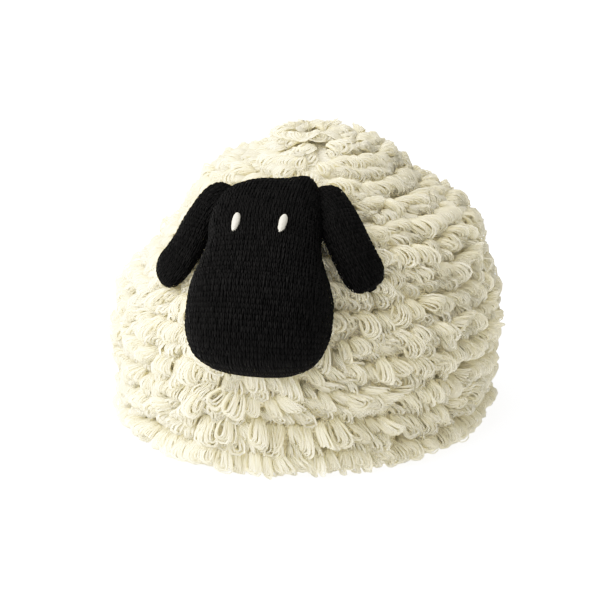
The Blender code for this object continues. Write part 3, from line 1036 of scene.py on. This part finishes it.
# each row's root in the tier, pitch of its bunches, strands in one, how far apart, shape, radius and sides
LONG_ROW = {
    "root": 0.94, "pitch": 7.0 * MM, "strands": 6, "apart": STRAND_PITCH,
    "shape": LONG_SHAPE, "thickness": STRAND_RADIUS, "sides": 4,
}
FILL_ROW = {
    "root": 0.48, "pitch": 6.0 * MM, "strands": 3, "apart": STRAND_PITCH * 1.2,
    "shape": FILL_SHAPE, "thickness": FILL_RADIUS, "sides": 3,
}
# from this tier up the cover slopes towards the light, so its fill loops are one strand fuller
CROWN_TIER = 9
# the lengths of long loops and of fill loops: the lowest end at the floor, and the highest lie flatter
LOOP_LENGTHS = (20.5 * MM, 16 * MM)
END_LENGTHS = {
    0: (19.5 * MM, 12 * MM), 11: (19 * MM, 15 * MM), 12: (16.5 * MM, 14 * MM), 13: (14 * MM, 12 * MM),
}
FIRST_SEED = 100


def make_tier(tier):
    """A tier's two rows as one piece. Each tier has draws of its own, so a change in one moves no other."""
    rng = np.random.default_rng(FIRST_SEED + tier)
    long_length, fill_length = END_LENGTHS.get(tier, LOOP_LENGTHS)
    fill_strands = FILL_ROW["strands"] + (tier >= CROWN_TIER)
    rows = [
        make_row(rng, tier, {**LONG_ROW, "length": long_length}),
        make_row(rng, tier, {**FILL_ROW, "length": fill_length, "strands": fill_strands}),
    ]
    name, node = ("hem_tier", "hem_loops") if tier == 0 else (f"pile_tier_{tier:02d}", "cosy_body")
    return finish_piece(piece_from_arrays(name, *join_rows(rows)), wool, "cream_wool", node)


tiers = [make_tier(tier) for tier in range(TIER_COUNT)]
print("pile:", sum(2 * len(t.data.polygons) for t in tiers), "triangles in", len(tiers), "tiers")

# %% [markdown]
# ### The crown
# The tiers run out at the crown, where a circle of loops would leave a hole. Two tufts close it: their
# loops stand up from a parting in the middle, and arch over to either side. A tuft's loop starts nearly
# upright and bends by the same amount all along, so its arch is part of a circle.

# %% The crown's two tufts
TUFT_SEED = 77
TUFT_BUNCHES = 10
TUFT_LENGTH = 20 * MM
# how far the tufts' middle is from the leaning axis and under the crown, and how deep their roots are
TUFT_SHIFT, TUFT_DROP, TUFT_ROOT_DEPTH = 9 * MM, 3 * MM, 5.5 * MM
# half the width and half the depth of the parting that the roots stand in
PARTING = np.array((6, 8, 0)) * MM
# how many degrees to both sides of straight out a tuft's bunches point, and how a loop starts and bends
TUFT_SPAN, TUFT_START, TUFT_BEND = 118, math.radians(22), math.radians(105)


def tuft_loop(root, turn, length, order, roll):
    """The middle line of one loop. order is its place in the bunch, from -0.5 to 0.5."""
    a, b = LONG_SHAPE
    slope = TUFT_START + TUFT_BEND * a
    out = length * (math.cos(TUFT_START) - np.cos(slope)) / TUFT_BEND
    up = length * (np.sin(slope) - math.sin(TUFT_START)) / TUFT_BEND
    ahead = np.array((math.cos(turn), math.sin(turn), 0))
    aside = np.array((-math.sin(turn), math.cos(turn), 0))
    # inner loops are narrower, and the bunch fans out from its root in width and in height
    wide = b * 0.3 * length * (1 - 0.88 * (order + 0.5)) + order * 3.4 * MM * (0.4 + 0.6 * a)
    rise = up + order * 3.0 * MM * a + roll * wide * 0.5
    return root + ahead * out[:, None] + aside * wide[:, None] + np.array((0, 0, 1)) * rise[:, None]


def tuft_bunch(rng, side, share):
    """One bunch of a tuft: the middle lines and the tones of its loops."""
    way = math.radians((0 if side > 0 else 180) + TUFT_SPAN * share * side + rng.uniform(-8, 8))
    top = np.array((AXIS[0] + LEAN - TUFT_SHIFT, AXIS[1], CROWN_HEIGHT - TUFT_DROP))
    root = top + PARTING * (side, share, 0) - (0, 0, TUFT_ROOT_DEPTH)
    size, roll = rng.uniform(0.85, 1.1), rng.uniform(-0.7, 0.7)
    tone = rng.uniform(0, 0.6)
    centres, tones = [], []
    for order in np.linspace(-0.5, 0.5, LONG_ROW["strands"]):
        length = TUFT_LENGTH * size * (1 - 0.3 * (order + 0.5)) * rng.uniform(0.96, 1.04)
        turn = way + rng.uniform(-0.05, 0.05) + 0.05 * order
        centres.append(tuft_loop(root, turn, length, order, roll))
        tones.append(tone + rng.uniform(0, 0.4))
    return centres, tones


def make_tufts():
    rng = np.random.default_rng(TUFT_SEED)
    shares = (np.arange(TUFT_BUNCHES) + 0.5) / TUFT_BUNCHES * 2 - 1
    bunches = [tuft_bunch(rng, side, share) for side in (-1, 1) for share in shares]
    centres, tones = (np.concatenate([bunch[k] for bunch in bunches]) for k in (0, 1))
    centres = centres + crimp(rng, len(centres), centres.shape[1])
    radius = STRAND_RADIUS * rng.uniform(0.85, 1.15, (len(centres), 1)) * np.ones((1, centres.shape[1]))
    rows = [strands_of(centres, radius, LONG_SHAPE, LONG_ROW["sides"], tones)]
    return finish_piece(piece_from_arrays("crown_tufts", *join_rows(rows)), wool, "cream_wool", "cosy_body")


tiers.append(make_tufts())
print("tufts:", 2 * len(tiers[-1].data.polygons), "triangles")

# %% [markdown]
# ## The slits' and the hem's edges
# A knitted edge that is left plain curls, so the slits and the hem are bound with a cord of two strands.
# Each strand follows the edge and winds round it, which is a sine and a cosine along the edge's normals. A
# slit's edge lies on the curved backing, so it is looked up on a fine grid of the backing's points.

# %% The line of an edge
# how far round to each side of a slit, and how far up the outline, its edge is looked for
GRID_REACH, GRID_TOP = 1.2, 0.9
GRID_TURNS, GRID_ROWS = 241, 181
EDGE_POINTS = 160


def signed_power(values, power):
    return np.sign(values) * np.abs(values) ** power


def slit_edge(slit):
    """Points round a slit's edge, on the outside of the backing."""
    side, height, half_width, half_height = slit
    angles = FULL_TURN * np.arange(EDGE_POINTS) / EDGE_POINTS
    high = np.sin(angles) * half_height * MM
    wide = signed_power(np.cos(angles), 2 / SLIT_ROUNDNESS) * half_width * MM
    turns = np.linspace(-GRID_REACH, GRID_REACH, GRID_TURNS) + (0 if side > 0 else np.pi)
    alongs = np.linspace(0, outline_path.length * GRID_TOP, GRID_ROWS)
    grid = cover_point(turns[:, None], alongs[None], BACKING_DEPTH)
    points = []
    for w, h in zip(wide, high):
        off = (grid[..., 1] - AXIS[1] - w) ** 2 + (grid[..., 2] - height * MM - h) ** 2
        points.append(grid[np.unravel_index(np.argmin(off), off.shape)])
    points = np.array(points)
    points[:, 1] = AXIS[1] + wide
    points[:, 2] = height * MM + high
    for _ in range(PASSES):
        points = points * 0.5 + (np.roll(points, 1, axis=0) + np.roll(points, -1, axis=0)) * 0.25
    return points


def even_ring(points, count):
    """The same closed curve with its points evenly apart."""
    closed = np.vstack([points, points[:1]])
    marks = lengths_along(closed)
    places = np.arange(count) / count * marks[-1]
    return np.stack([np.interp(places, marks, column) for column in closed.T], axis=-1), marks[-1]


print("edge of the spout's slit:", round(even_ring(slit_edge(SLITS["spout"]), 8)[1] / MM), "mm round")

# %% The bound edges
CORD_STRAND = 0.75 * MM
# how far each strand is from the cord's middle, how long one turn is, and how far apart its rings are
CORD_WIND = 0.62 * MM
CORD_TURN_LENGTH, CORD_STEP = 5.0 * MM, 1.2 * MM
# the sides of a strand, the rings that its own twist takes, and how its finish reads it: its tone, and its
# share of the root's painted shade
CORD_SIDES, CORD_TWIST_RINGS = 5, 3
CORD_TONE, CORD_ROOT_SHADE = 0.5, 0.35
# how far over the floor the hem's cord lies, and how many points its line starts with
HEM_LIFT, HEM_POINTS = 0.2 * MM, 400
# a cord winds round its edge as seen from a point: this far to a slit's side, or this high over the hem
SLIT_VIEW, HEM_VIEW = 60 * MM, 300 * MM


def bound_edge(points, middle):
    """Two strands that wind round a closed edge, as rows of centres."""
    length = even_ring(points, 8)[1]
    count = int(length / CORD_STEP)
    points, length = even_ring(points, count)
    ahead = unit(np.roll(points, -1, axis=0) - np.roll(points, 1, axis=0))
    away = unit(points - middle)
    away = unit(away - ahead * (away * ahead).sum(axis=1, keepdims=True))
    other = np.cross(ahead, away)
    wind = FULL_TURN * np.arange(count) / count * round(length / CORD_TURN_LENGTH)
    strands = [
        points + CORD_WIND * (np.cos(wind + half)[:, None] * away + np.sin(wind + half)[:, None] * other)
        for half in (0, np.pi)
    ]
    return np.array(strands)


def hem_edge():
    """The cord of the hem, under the middle of the backing's thickness."""
    turns = FULL_TURN * np.arange(HEM_POINTS) / HEM_POINTS
    hem = cover_point(turns, 0.0, BACKING_DEPTH + BACKING_THICKNESS / 2)
    hem[:, 2] = CORD_WIND + CORD_STRAND + HEM_LIFT
    return bound_edge(hem, AXIS + (0, 0, HEM_VIEW))


def make_edges():
    rings = []
    for slit in SLITS.values():
        middle = np.array((AXIS[0] + slit[0] * SLIT_VIEW, AXIS[1], slit[1] * MM))
        rings.append(bound_edge(slit_edge(slit), middle))
    rows = []
    for ring in (*rings, hem_edge()):
        radius = np.full(ring.shape[:2], CORD_STRAND)
        points, faces, uvs = closed_rings(ring, radius, CORD_SIDES, ring.shape[1] / CORD_TWIST_RINGS)
        tones, root_shade = np.full(len(points), CORD_TONE), np.full(len(points), CORD_ROOT_SHADE)
        rows.append((points, faces, uvs, tones, root_shade))
    return finish_piece(piece_from_arrays("bound_edges", *join_rows(rows)), wool, "cream_wool")


edges = make_edges()
print("bound edges:", 2 * len(edges.data.polygons), "triangles")

# %% [markdown]
# ## The head and the ears
# The head is a stuffed bag of plain knitting, flat at the brow and full at the muzzle, and each ear is a
# thin one that hangs from a top corner. A bag is a row of sections along a curved path, so one table with
# the width and the thickness of each section is enough.

# %% The shape of the bags
# a bag's sections are read by a turn, and its front is at a quarter turn
FRONT = FULL_TURN / 4
# across, front, height, half width and half thickness of each section, from the top to the muzzle
HEAD = [
    (-4, 56.5, 153, 19.5, 4), (-5, 64, 149.5, 27, 8), (-5.5, 76.5, 142.5, 30, 11.5),
    (-5, 86, 135.5, 31, 13.5), (-3.5, 94, 128.5, 31, 15), (-3, 101, 121, 33.5, 16),
    (-2.5, 107, 112.5, 37.5, 17.5), (-2, 112.5, 104.5, 39.5, 18.5), (-2, 120, 89, 39.5, 18),
    (-2, 123, 77.5, 36, 15), (-1.5, 123, 71, 31, 10.5), (-1, 122, 66, 21, 5),
]
# the same for each ear, from its root at the head's corner to its tip
EARS = {
    "ear_left": [
        (-30, 56.5, 148.5, 10, 4.5), (-39.5, 61, 142.5, 10, 5.5), (-46, 68, 132.5, 11, 6),
        (-51, 75, 121, 11.6, 6), (-58, 78.5, 110, 11.8, 5.8), (-67.5, 77, 101, 11.4, 5),
    ],
    "ear_right": [
        (20, 59, 152, 9, 4.5), (29.5, 67.5, 144.5, 9.5, 5.5), (36.5, 77, 136, 11, 6),
        (43, 83.5, 126, 11.6, 6), (50, 88, 115.5, 11.8, 5.8), (56, 89.5, 106, 11.4, 5),
    ],
}
print("sections: head", len(HEAD), "ears", [len(rows) for rows in EARS.values()])

# %% The head's bag
# the radius that the head is wrapped to, and how square its sections are: 1 is an ellipse, 0 a box
HEAD_WRAP = 170 * MM
HEAD_SQUARENESS, HEAD_FRONT_SQUARENESS = 0.72, 0.85
# where the brow's top seam stands up into a corner: its place across, its spread and its rise
BROW_CORNERS = [(19, 9, 4.2), (-24, 12, -0.6)]
# the share of the head's length that the corners fade out in
BROW_SHARE = 0.3


class HeadBag:
    """The head: rounded slabs that wrap a little round the cover."""

    END_LIFT = 1.0

    def __init__(self, rows):
        self.path = Path(rows, [1, 2])

    def point(self, turn, share, sink=0.0):
        turn, share = np.broadcast_arrays(turn, share)
        middle, front, height, half_width, half_thickness = self.path.at(share * self.path.length)
        run = self.path.direction(share * self.path.length, (1, 2))
        across = (half_width - sink) * signed_power(np.cos(turn), HEAD_SQUARENESS)
        proud = (half_thickness - sink) * signed_power(np.sin(turn), HEAD_FRONT_SQUARENESS)
        proud = proud - across ** 2 / (2 * HEAD_WRAP)
        front, height = front - proud * run[..., 1], height + proud * run[..., 0]
        near_top = np.maximum(0, 1 - share / BROW_SHARE) ** 1.5
        for corner, spread, rise in BROW_CORNERS:
            height = height + rise * MM * near_top * np.exp(-((across / MM - corner) / spread) ** 2)
        return AXIS + np.stack([middle + across, -front, height], axis=-1)


head_bag = HeadBag(HEAD)
print(f"head: {head_bag.path.length / MM:.0f} mm along its spine")

# %% The ears' bags
# how much of an ear's length rounds off to its tip and to its root
EAR_TIP, EAR_ROOT = 11.5 * MM, 11 * MM
# how far an ear's face is turned up, and how thick it stays where it rounds off
EAR_FACE_UP, EAR_END_THICKNESS = 0.55, 0.15


class EarBag:
    """An ear: a thin pad that hangs along the cover. END_LIFT is how far its skin's round end stands out."""

    END_LIFT = 0.45

    def __init__(self, rows):
        self.path = Path(rows, [0, 1, 2])

    def point(self, turn, share, sink=0.0):
        turn, share = np.broadcast_arrays(turn, share)
        across, front, height, half_width, half_thickness = self.path.at(share * self.path.length)
        run = self.path.direction(share * self.path.length, (0, 1, 2)) * (1, -1, 1)
        outward = unit(np.stack([across - lean_at(height), -front, EAR_FACE_UP * front], axis=-1))
        wide = unit(np.cross(run, outward))
        proud = np.cross(wide, run)
        to_tip = np.clip((1 - share) * self.path.length / EAR_TIP, 0.02, 1)
        to_root = np.clip(share * self.path.length / EAR_ROOT, 0.04, 1)
        roundness = (1 - (1 - to_tip) ** 2.3) ** 0.45 * (1 - (1 - to_root) ** 2) ** 0.5
        sink = sink * roundness
        half_width = half_width * roundness
        half_thickness = half_thickness * (EAR_END_THICKNESS + (1 - EAR_END_THICKNESS) * roundness)
        middle = AXIS + np.stack([across, -front, height], axis=-1)
        wide = wide * ((half_width - sink) * np.cos(turn))[..., None]
        return middle + wide + proud * ((half_thickness - sink) * np.sin(turn))[..., None]


ear_bags = {name: EarBag(rows) for name, rows in EARS.items()}
print("ears:", [f"{bag.path.length / MM:.0f} mm" for bag in ear_bags.values()], "long")

# %% [markdown]
# ### The skins
# A UV sphere becomes a bag's skin: its rings are the bag's sections, and the few next to each pole round
# off the ends. The skin lies a little under the stitches, so that it only shows between them. It is a
# closed, stuffed shape.

# %% The skins
SKIN_SINK = 0.45 * MM
# how far along its bag, as a share, a ring looks inwards to find which way is out of the end
END_LOOK = 0.05
# the size of each ring of a round end, and how far it stands out past the last section
ROUND_END = [(0.0, 1.7), (0.5, 1.6), (0.8, 1.35), (0.97, 0.85)]


def skin_place(bag, turn, station, last, sink):
    """Where the sphere's points go: station counts its rings from the top pole to the bottom one."""
    ends = len(ROUND_END)
    from_end = np.minimum(np.minimum(station, last - station), ends)
    # the rings crowd towards the ends, where the bag rounds off
    share = (1 - np.cos(np.pi * np.clip((station - ends) / (last - 2 * ends), 0, 1))) / 2
    spot = bag.point(turn, share, sink)
    centre = (bag.point(0.0, share, sink) + bag.point(np.pi, share, sink)) / 2
    inner = np.where(share < 0.5, share + END_LOOK, share - END_LOOK)
    away = unit(centre - (bag.point(0.0, inner, sink) + bag.point(np.pi, inner, sink)) / 2)
    sizes, lifts = np.array([*ROUND_END, (1.0, 0.0)]).T
    sizes, lifts = sizes[from_end], lifts[from_end] * MM * bag.END_LIFT
    return centre + (spot - centre) * sizes[:, None] + away * lifts[:, None]


def make_skin(name, bag, around, along, node):
    deselect_all()
    last = along + 2 * len(ROUND_END)
    bpy.ops.mesh.primitive_uv_sphere_add(segments=around, ring_count=last, radius=1)
    obj = bpy.context.active_object
    obj.name = name
    sphere = np.array([v.co for v in obj.data.vertices])
    station = np.rint(np.arccos(np.clip(sphere[:, 2], -1, 1)) / np.pi * last).astype(int)
    places = skin_place(bag, np.arctan2(sphere[:, 1], sphere[:, 0]), station, last, SKIN_SINK)
    obj.data.vertices.foreach_set("co", places.astype(np.float32).ravel())
    obj.data.update()
    turn_faces_outward(obj)
    obj.data.shade_smooth()
    return finish_piece(obj, black_knit, "black_knit", node)


def turn_faces_outward(obj):
    bm = bmesh.new()
    bm.from_mesh(obj.data)
    bmesh.ops.recalc_face_normals(bm, faces=bm.faces)
    if bm.calc_volume(signed=True) < 0:
        bmesh.ops.reverse_faces(bm, faces=bm.faces)
    bm.to_mesh(obj.data)
    bm.free()


head_skin = make_skin("head_skin", head_bag, 72, 44, "head")
for name, bag in ear_bags.items():
    make_skin(name + "_skin", bag, 32, 26, name)

# %% [markdown]
# ### Plain knitting
# Plain knitting is columns of small Vs, and each V has two legs. A pattern in the finish would look flat at
# the head's outline, so each leg is a short tube, thick in its middle, that rises out of the stitch below
# and sinks under the one above. The columns keep the same width where the bag gets wider, so they are laid
# out by the length round each section, from the front's middle.

# %% Tubes with ends
# how pointed a tube's ends are, as a share of their radius
TUBE_POINT = 0.6


def open_tubes(centres, normals, radius, sides):
    """Tubes with closed ends, one for each row of centres: points and faces of four and of three corners."""
    count, rings = centres.shape[:2]
    ahead = unit(np.gradient(centres, axis=1))
    sideways = unit(np.cross(ahead, normals))
    points = tube_wall(centres, np.cross(sideways, ahead), sideways, radius, sides)
    start = centres[:, :1] - ahead[:, :1] * radius[:, :1, None] * TUBE_POINT
    end = centres[:, -1:] + ahead[:, -1:] * radius[:, -1:, None] * TUBE_POINT
    points = np.concatenate([points.reshape(count, -1, 3), start, end], axis=1)
    each = rings * sides + 2
    k, j = np.meshgrid(np.arange(rings - 1), np.arange(sides), indexing="ij")
    j2 = (j + 1) % sides
    quads = np.stack([k * sides + j, (k + 1) * sides + j, (k + 1) * sides + j2, k * sides + j2], axis=-1)
    j, j2 = j[0], j2[0]
    top = (rings - 1) * sides
    tris = np.concatenate([
        np.stack([np.full(sides, each - 2), j, j2], axis=-1),
        np.stack([np.full(sides, each - 1), top + j2, top + j], axis=-1),
    ])
    base = (np.arange(count) * each)[:, None, None]
    quads, tris = base + quads.reshape(1, -1, 4), base + tris[None]
    return points.reshape(-1, 3), quads.reshape(-1, 4), tris.reshape(-1, 3)


print("a tube's ends stand out by", TUBE_POINT, "of its radius")

# %% Where a stitch lies on its bag
# for each ring of a leg: up and across as shares of the stitch, its rise and its radius in mm
LEG = [
    (-0.82, 0.03, -0.50, 0.24), (-0.30, 0.15, 0.30, 0.39),
    (0.28, 0.27, 0.48, 0.41), (0.82, 0.22, -0.55, 0.24),
]
STITCH_WIDTH, STITCH_HEIGHT = 2.05 * MM, 2.6 * MM
# the stitches stop this far from a bag's tip, where the knitting is drawn together
STITCH_END = 0.8 * MM
# a short way round and along a bag, to measure its slopes with
SMALL_STEP = 0.02


def surface_normals(bag, turn, share):
    across = bag.point(turn + SMALL_STEP, share) - bag.point(turn - SMALL_STEP, share)
    high, low = np.clip(share + SMALL_STEP, 0, 1), np.clip(share - SMALL_STEP, 0, 1)
    along = bag.point(turn, high) - bag.point(turn, low)
    normals = unit(np.cross(across, along))
    inside = (bag.point(turn, share) + bag.point(turn + np.pi, share)) / 2
    away = ((bag.point(turn, share) - inside) * normals).sum(axis=-1, keepdims=True)
    return normals * np.where(away < 0, -1, 1)


def section_arcs(bag, turns, share):
    """The length round a section at each turn, from the middle of its front."""
    arcs = lengths_along(bag.point(turns, np.full(len(turns), share)))
    return arcs - arcs[len(arcs) // 2]


def columns_on(arcs):
    """The stitch columns that fit on a section, counted from the middle of its front."""
    reach = int((min(-arcs[0], arcs[-1]) - 0.5 * STITCH_WIDTH) / STITCH_WIDTH)
    return np.arange(-reach, reach + 1).astype(float)


face_arcs = section_arcs(head_bag, np.linspace(0, math.pi, 301), 0.6)
print("the muzzle's front is", len(columns_on(face_arcs)), "columns wide")

# %% The stitches
# near a section's edge, past this share of it, a leg keeps the turn that its stitch's middle has
SAFE_SHARE = 0.92
# how uneven the knitting is: the drift of a leg across its column, as a share of it, and of its place
LEG_DRIFT, LEG_WANDER = 0.05, 0.09 * MM
HEAD_STITCH_REACH, EAR_STITCH_REACH = math.radians(112), math.radians(125)


def leg_turns(bag, turns, middle_arcs, place, share):
    """The turns at which legs that lie at these lengths round the middle meet the section at this share."""
    arcs = section_arcs(bag, turns, share)
    room = min(-arcs[0], arcs[-1])
    turn_here, turn_middle = np.interp(place, arcs, turns), np.interp(place, middle_arcs, turns)
    return np.where(np.abs(place) < room * SAFE_SHARE, turn_here, turn_middle)


def make_legs(rng, bag, turns, middle_share, step, last, side):
    """One side's legs of a whole course: the middle lines, the normals there and the radii."""
    arcs = section_arcs(bag, turns, middle_share)
    columns = columns_on(arcs)
    drift = rng.normal(0, LEG_DRIFT, len(columns))
    points, normals = [], []
    for up, across, rise, _ in LEG:
        share = np.full(len(columns), np.clip(middle_share - up * step, 0, last))
        place = (columns + side * across + drift) * STITCH_WIDTH
        turn = leg_turns(bag, turns, arcs, place, share[0])
        normal = surface_normals(bag, turn, share)
        points.append(bag.point(turn, share) + normal * rise * MM)
        normals.append(normal)
    radii = np.array([row[3] for row in LEG]) * MM * rng.uniform(0.85, 1.12, (len(columns), 1))
    return np.stack(points, axis=1), np.stack(normals, axis=1), radii


def make_stitches(name, bag, reach, seed):
    """The Vs on the front of a bag and round its edges. reach says how far round they go."""
    rng = np.random.default_rng(seed)
    turns = FRONT + reach * signed_power(np.linspace(-1, 1, 301), 1.4)
    last = 1 - STITCH_END / bag.path.length
    courses = int(last * bag.path.length / STITCH_HEIGHT)
    legs = [
        make_legs(rng, bag, turns, (course + 0.5) / courses * last, last / courses, last, side)
        for course in range(courses) for side in (-1, 1)
    ]
    centres, normals, radii = (np.concatenate([leg[k] for leg in legs]) for k in (0, 1, 2))
    centres = centres + rng.normal(0, LEG_WANDER, (len(centres), 1, 3))
    points, quads, tris = open_tubes(centres, normals, radii, 3)
    tone = np.repeat(rng.uniform(0, 1, len(centres)), len(points) // len(centres))
    obj = piece_from_arrays(name, points, [quads, tris], attributes={"tone": tone})
    return finish_piece(obj, black_knit, "black_knit")


head_stitches = make_stitches("head_stitches", head_bag, HEAD_STITCH_REACH, seed=11)
ear_stitches = [
    make_stitches(f"{name}_stitches", bag, EAR_STITCH_REACH, seed=20 + k)
    for k, (name, bag) in enumerate(ear_bags.items())
]
print("stitches:", [len(o.data.polygons) for o in (head_stitches, *ear_stitches)], "faces")

# %% [markdown]
# ## The eyes
# Each eye is satin stitch: short threads that lie side by side across it, from a pointed foot up to a round
# top. Every thread comes out of the knitting on one side, arches over the ones below and goes back in. A
# white bead would be simpler, but it would shine and show no threads. The face slopes and turns, so a small
# frame of three directions is measured on it where an eye sits.

# %% A frame on the face
# how far down the head's spine the eyes sit, as a share, and how much lower the left one is
EYE_DOWN, LEFT_EYE_LOWER = 0.335, 0.008
# the middle between the eyes, and half their distance
EYE_SHIFT, EYE_APART = -0.5 * MM, 12.9 * MM


def face_frame(across, share):
    """A point on the face at this distance from its middle, and the ways across, down and out of it."""
    width = float(head_bag.path.at(share * head_bag.path.length)[3])
    turn = math.acos(math.copysign(min(1.0, (abs(across) / width) ** (1 / HEAD_SQUARENESS)), across))
    here = head_bag.point(turn, share)
    beside = head_bag.point(turn - SMALL_STEP, share), head_bag.point(turn + SMALL_STEP, share)
    below = head_bag.point(turn, share + SMALL_STEP), head_bag.point(turn, share - SMALL_STEP)
    sideways, down = unit(beside[0] - beside[1]), unit(below[0] - below[1])
    out = unit(np.cross(down, sideways))
    return here, sideways, down, out if out[1] < 0 else -out


print("between the eyes:", face_frame(EYE_SHIFT, EYE_DOWN)[0].round(4))

# %% The eyes
EYE_HALF_WIDTH, EYE_HALF_HEIGHT = 2.05 * MM, 6.0 * MM
EYE_TILT = math.radians(8)
EYE_THREADS, EYE_THREAD_RADIUS = 13, 0.55 * MM
# how far a thread stands out, how many degrees it reaches round to each side, and how much it slants
EYE_RISE, EYE_REACH, EYE_SLANT = 1.5 * MM, 105, 0.35 * MM
# how much of that rise the shortest threads have, and how far every thread is lifted off the knitting
EYE_LEAST_RISE, EYE_LIFT = 0.55, 0.1 * MM
# the threads keep this far inside the eye's outline, to the sides and to its ends
EYE_INSET, EYE_END_INSET = 0.2 * MM, 0.3 * MM


def eye_width(along):
    """The eye's half width at a share of its height, from the pointed foot to the round top."""
    roundness = np.clip(1 - np.abs(2 * along - 1) ** (2.3 + 1.2 * along), 0, 1)
    return EYE_HALF_WIDTH * np.sqrt(roundness) * (0.9 + 0.12 * along)


def make_eye(name, across, share, node, seed):
    here, sideways, down, out = face_frame(across, share)
    up = unit(-down * math.cos(EYE_TILT) + sideways * math.sin(EYE_TILT))
    cross = unit(sideways * math.cos(EYE_TILT) + down * math.sin(EYE_TILT))
    rng = np.random.default_rng(seed)
    along = (np.arange(EYE_THREADS) + 0.5) / EYE_THREADS + rng.uniform(-0.01, 0.01, EYE_THREADS)
    half_width = eye_width(along) * rng.uniform(0.95, 1.06, EYE_THREADS)
    arc = np.radians(np.linspace(-EYE_REACH, EYE_REACH, 9))
    wide = np.sin(arc)[None] * (half_width[:, None] - EYE_INSET)
    high = ((along - 0.5) * 2 * (EYE_HALF_HEIGHT - EYE_END_INSET))[:, None] + np.sin(arc)[None] * EYE_SLANT
    fullness = EYE_LEAST_RISE + (1 - EYE_LEAST_RISE) * half_width / EYE_HALF_WIDTH
    rise = EYE_RISE * fullness[:, None] * np.cos(arc)[None]
    rise = rise + EYE_LIFT + rng.uniform(-0.05, 0.05, (EYE_THREADS, 1)) * MM
    centres = here + cross * wide[..., None] + up * high[..., None] + out * rise[..., None]
    normals = np.broadcast_to(up, centres.shape)
    radius = np.full(centres.shape[:2], EYE_THREAD_RADIUS) * rng.uniform(0.93, 1.05, (EYE_THREADS, 1))
    points, quads, tris = open_tubes(centres, normals, radius, 8)
    return finish_piece(piece_from_arrays(name, points, [quads, tris]), white_thread, "white_thread", node)


eyes = [
    make_eye("eye_left_thread", EYE_SHIFT - EYE_APART, EYE_DOWN + LEFT_EYE_LOWER, "eye_left", seed=31),
    make_eye("eye_right_thread", EYE_SHIFT + EYE_APART, EYE_DOWN, "eye_right", seed=32),
]
print("eyes:", [len(o.data.polygons) for o in eyes], "faces")

# %% [markdown]
# ## Loose fibres
# Spun wool is hairy: fine fibres stand off every strand and soften its outline. They could be a hair
# system, but an export would lose it. A fibre here is a thin tapered tube of three rings, and it grows from
# a point of a finished piece, so the points and normals of that piece's mesh say where it starts.

# %% Where fibres grow
# the point that "outwards" is measured from, and how much a normal has to face that way
COVER_HEART = AXIS + (0, 0, 50 * MM)
FACING = 0.3
# no fibre starts lower than this, so that none reaches the floor
LOWEST_FIBRE = 4 * MM


def grown_from(pieces, count, rng):
    """Random points on some pieces that face away from the cover, and their normals."""
    points, normals = [], []
    for obj in pieces:
        size = len(obj.data.vertices)
        co, no = np.empty(size * 3, np.float32), np.empty(size * 3, np.float32)
        obj.data.vertices.foreach_get("co", co)
        obj.data.vertex_normals.foreach_get("vector", no)
        points.append(co.reshape(-1, 3))
        normals.append(no.reshape(-1, 3))
    points, normals = np.concatenate(points).astype(float), np.concatenate(normals).astype(float)
    outward = unit(points - COVER_HEART)
    facing = np.nonzero(((normals * outward).sum(axis=1) > FACING) & (points[:, 2] > LOWEST_FIBRE))[0]
    picked = rng.choice(facing, count, replace=False)
    return points[picked], normals[picked]


print("fibres can grow from", sum(len(obj.data.vertices) for obj in tiers), "points of the pile")

# %% The loose fibres
# how thick a fibre's three rings are, as shares of its radius
FIBRE_SHARES = np.array((1.0, 0.75, 0.3))
WOOL_FIBRES, BLACK_FIBRES = 3600, 1500
WOOL_FIBRE_LENGTH, WOOL_FIBRE_RADIUS = 3.0 * MM, 0.085 * MM
BLACK_FIBRE_LENGTH, BLACK_FIBRE_RADIUS = 1.6 * MM, 0.07 * MM


def make_fibres(name, pieces, count, length, radius, tone, material, slot, seed):
    """Fibres that leave the surface at stray angles and bend halfway along."""
    rng = np.random.default_rng(seed)
    points, normals = grown_from(pieces, count, rng)
    way = unit(normals * 0.5 + rng.normal(0, 0.6, (count, 3)))
    bend = unit(way + rng.normal(0, 0.5, (count, 3)))
    lengths = length * rng.uniform(0.5, 1.3, (count, 1))
    middle_points = points + way * lengths * 0.5
    centres = np.stack([points, middle_points, middle_points + bend * lengths * 0.5], axis=1)
    across = unit(np.cross(way, rng.normal(0, 1, (count, 3))))[:, None] * np.ones((1, 3, 1))
    radii = radius * FIBRE_SHARES * np.ones((count, 1))
    tubes, quads, tris = open_tubes(centres, across, radii, 3)
    each = len(tubes) // count
    attributes = {
        "tone": np.repeat(rng.uniform(*tone, count), each),
        "root_shade": np.zeros(len(tubes)),
    }
    uvs = np.zeros((quads.size + tris.size, 2))
    obj = piece_from_arrays(name, tubes, [quads, tris], uvs, attributes)
    return finish_piece(obj, material, slot)


wool_fibres = make_fibres(
    "wool_fibres", tiers, WOOL_FIBRES, WOOL_FIBRE_LENGTH, WOOL_FIBRE_RADIUS,
    (0.5, 1.0), wool, "cream_wool", seed=51,
)
black_fibres = make_fibres(
    "black_fibres", [head_stitches, *ear_stitches], BLACK_FIBRES, BLACK_FIBRE_LENGTH, BLACK_FIBRE_RADIUS,
    (0.6, 1.6), black_knit, "black_knit", seed=52,
)
print("fibres:", [len(o.data.polygons) for o in (wool_fibres, black_fibres)], "faces")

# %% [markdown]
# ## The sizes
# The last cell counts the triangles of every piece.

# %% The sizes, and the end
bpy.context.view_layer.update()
sizes = {obj.name: sum(len(face.vertices) - 2 for face in obj.data.polygons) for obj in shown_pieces()}
print("triangles:", sizes, "in all", sum(sizes.values()))
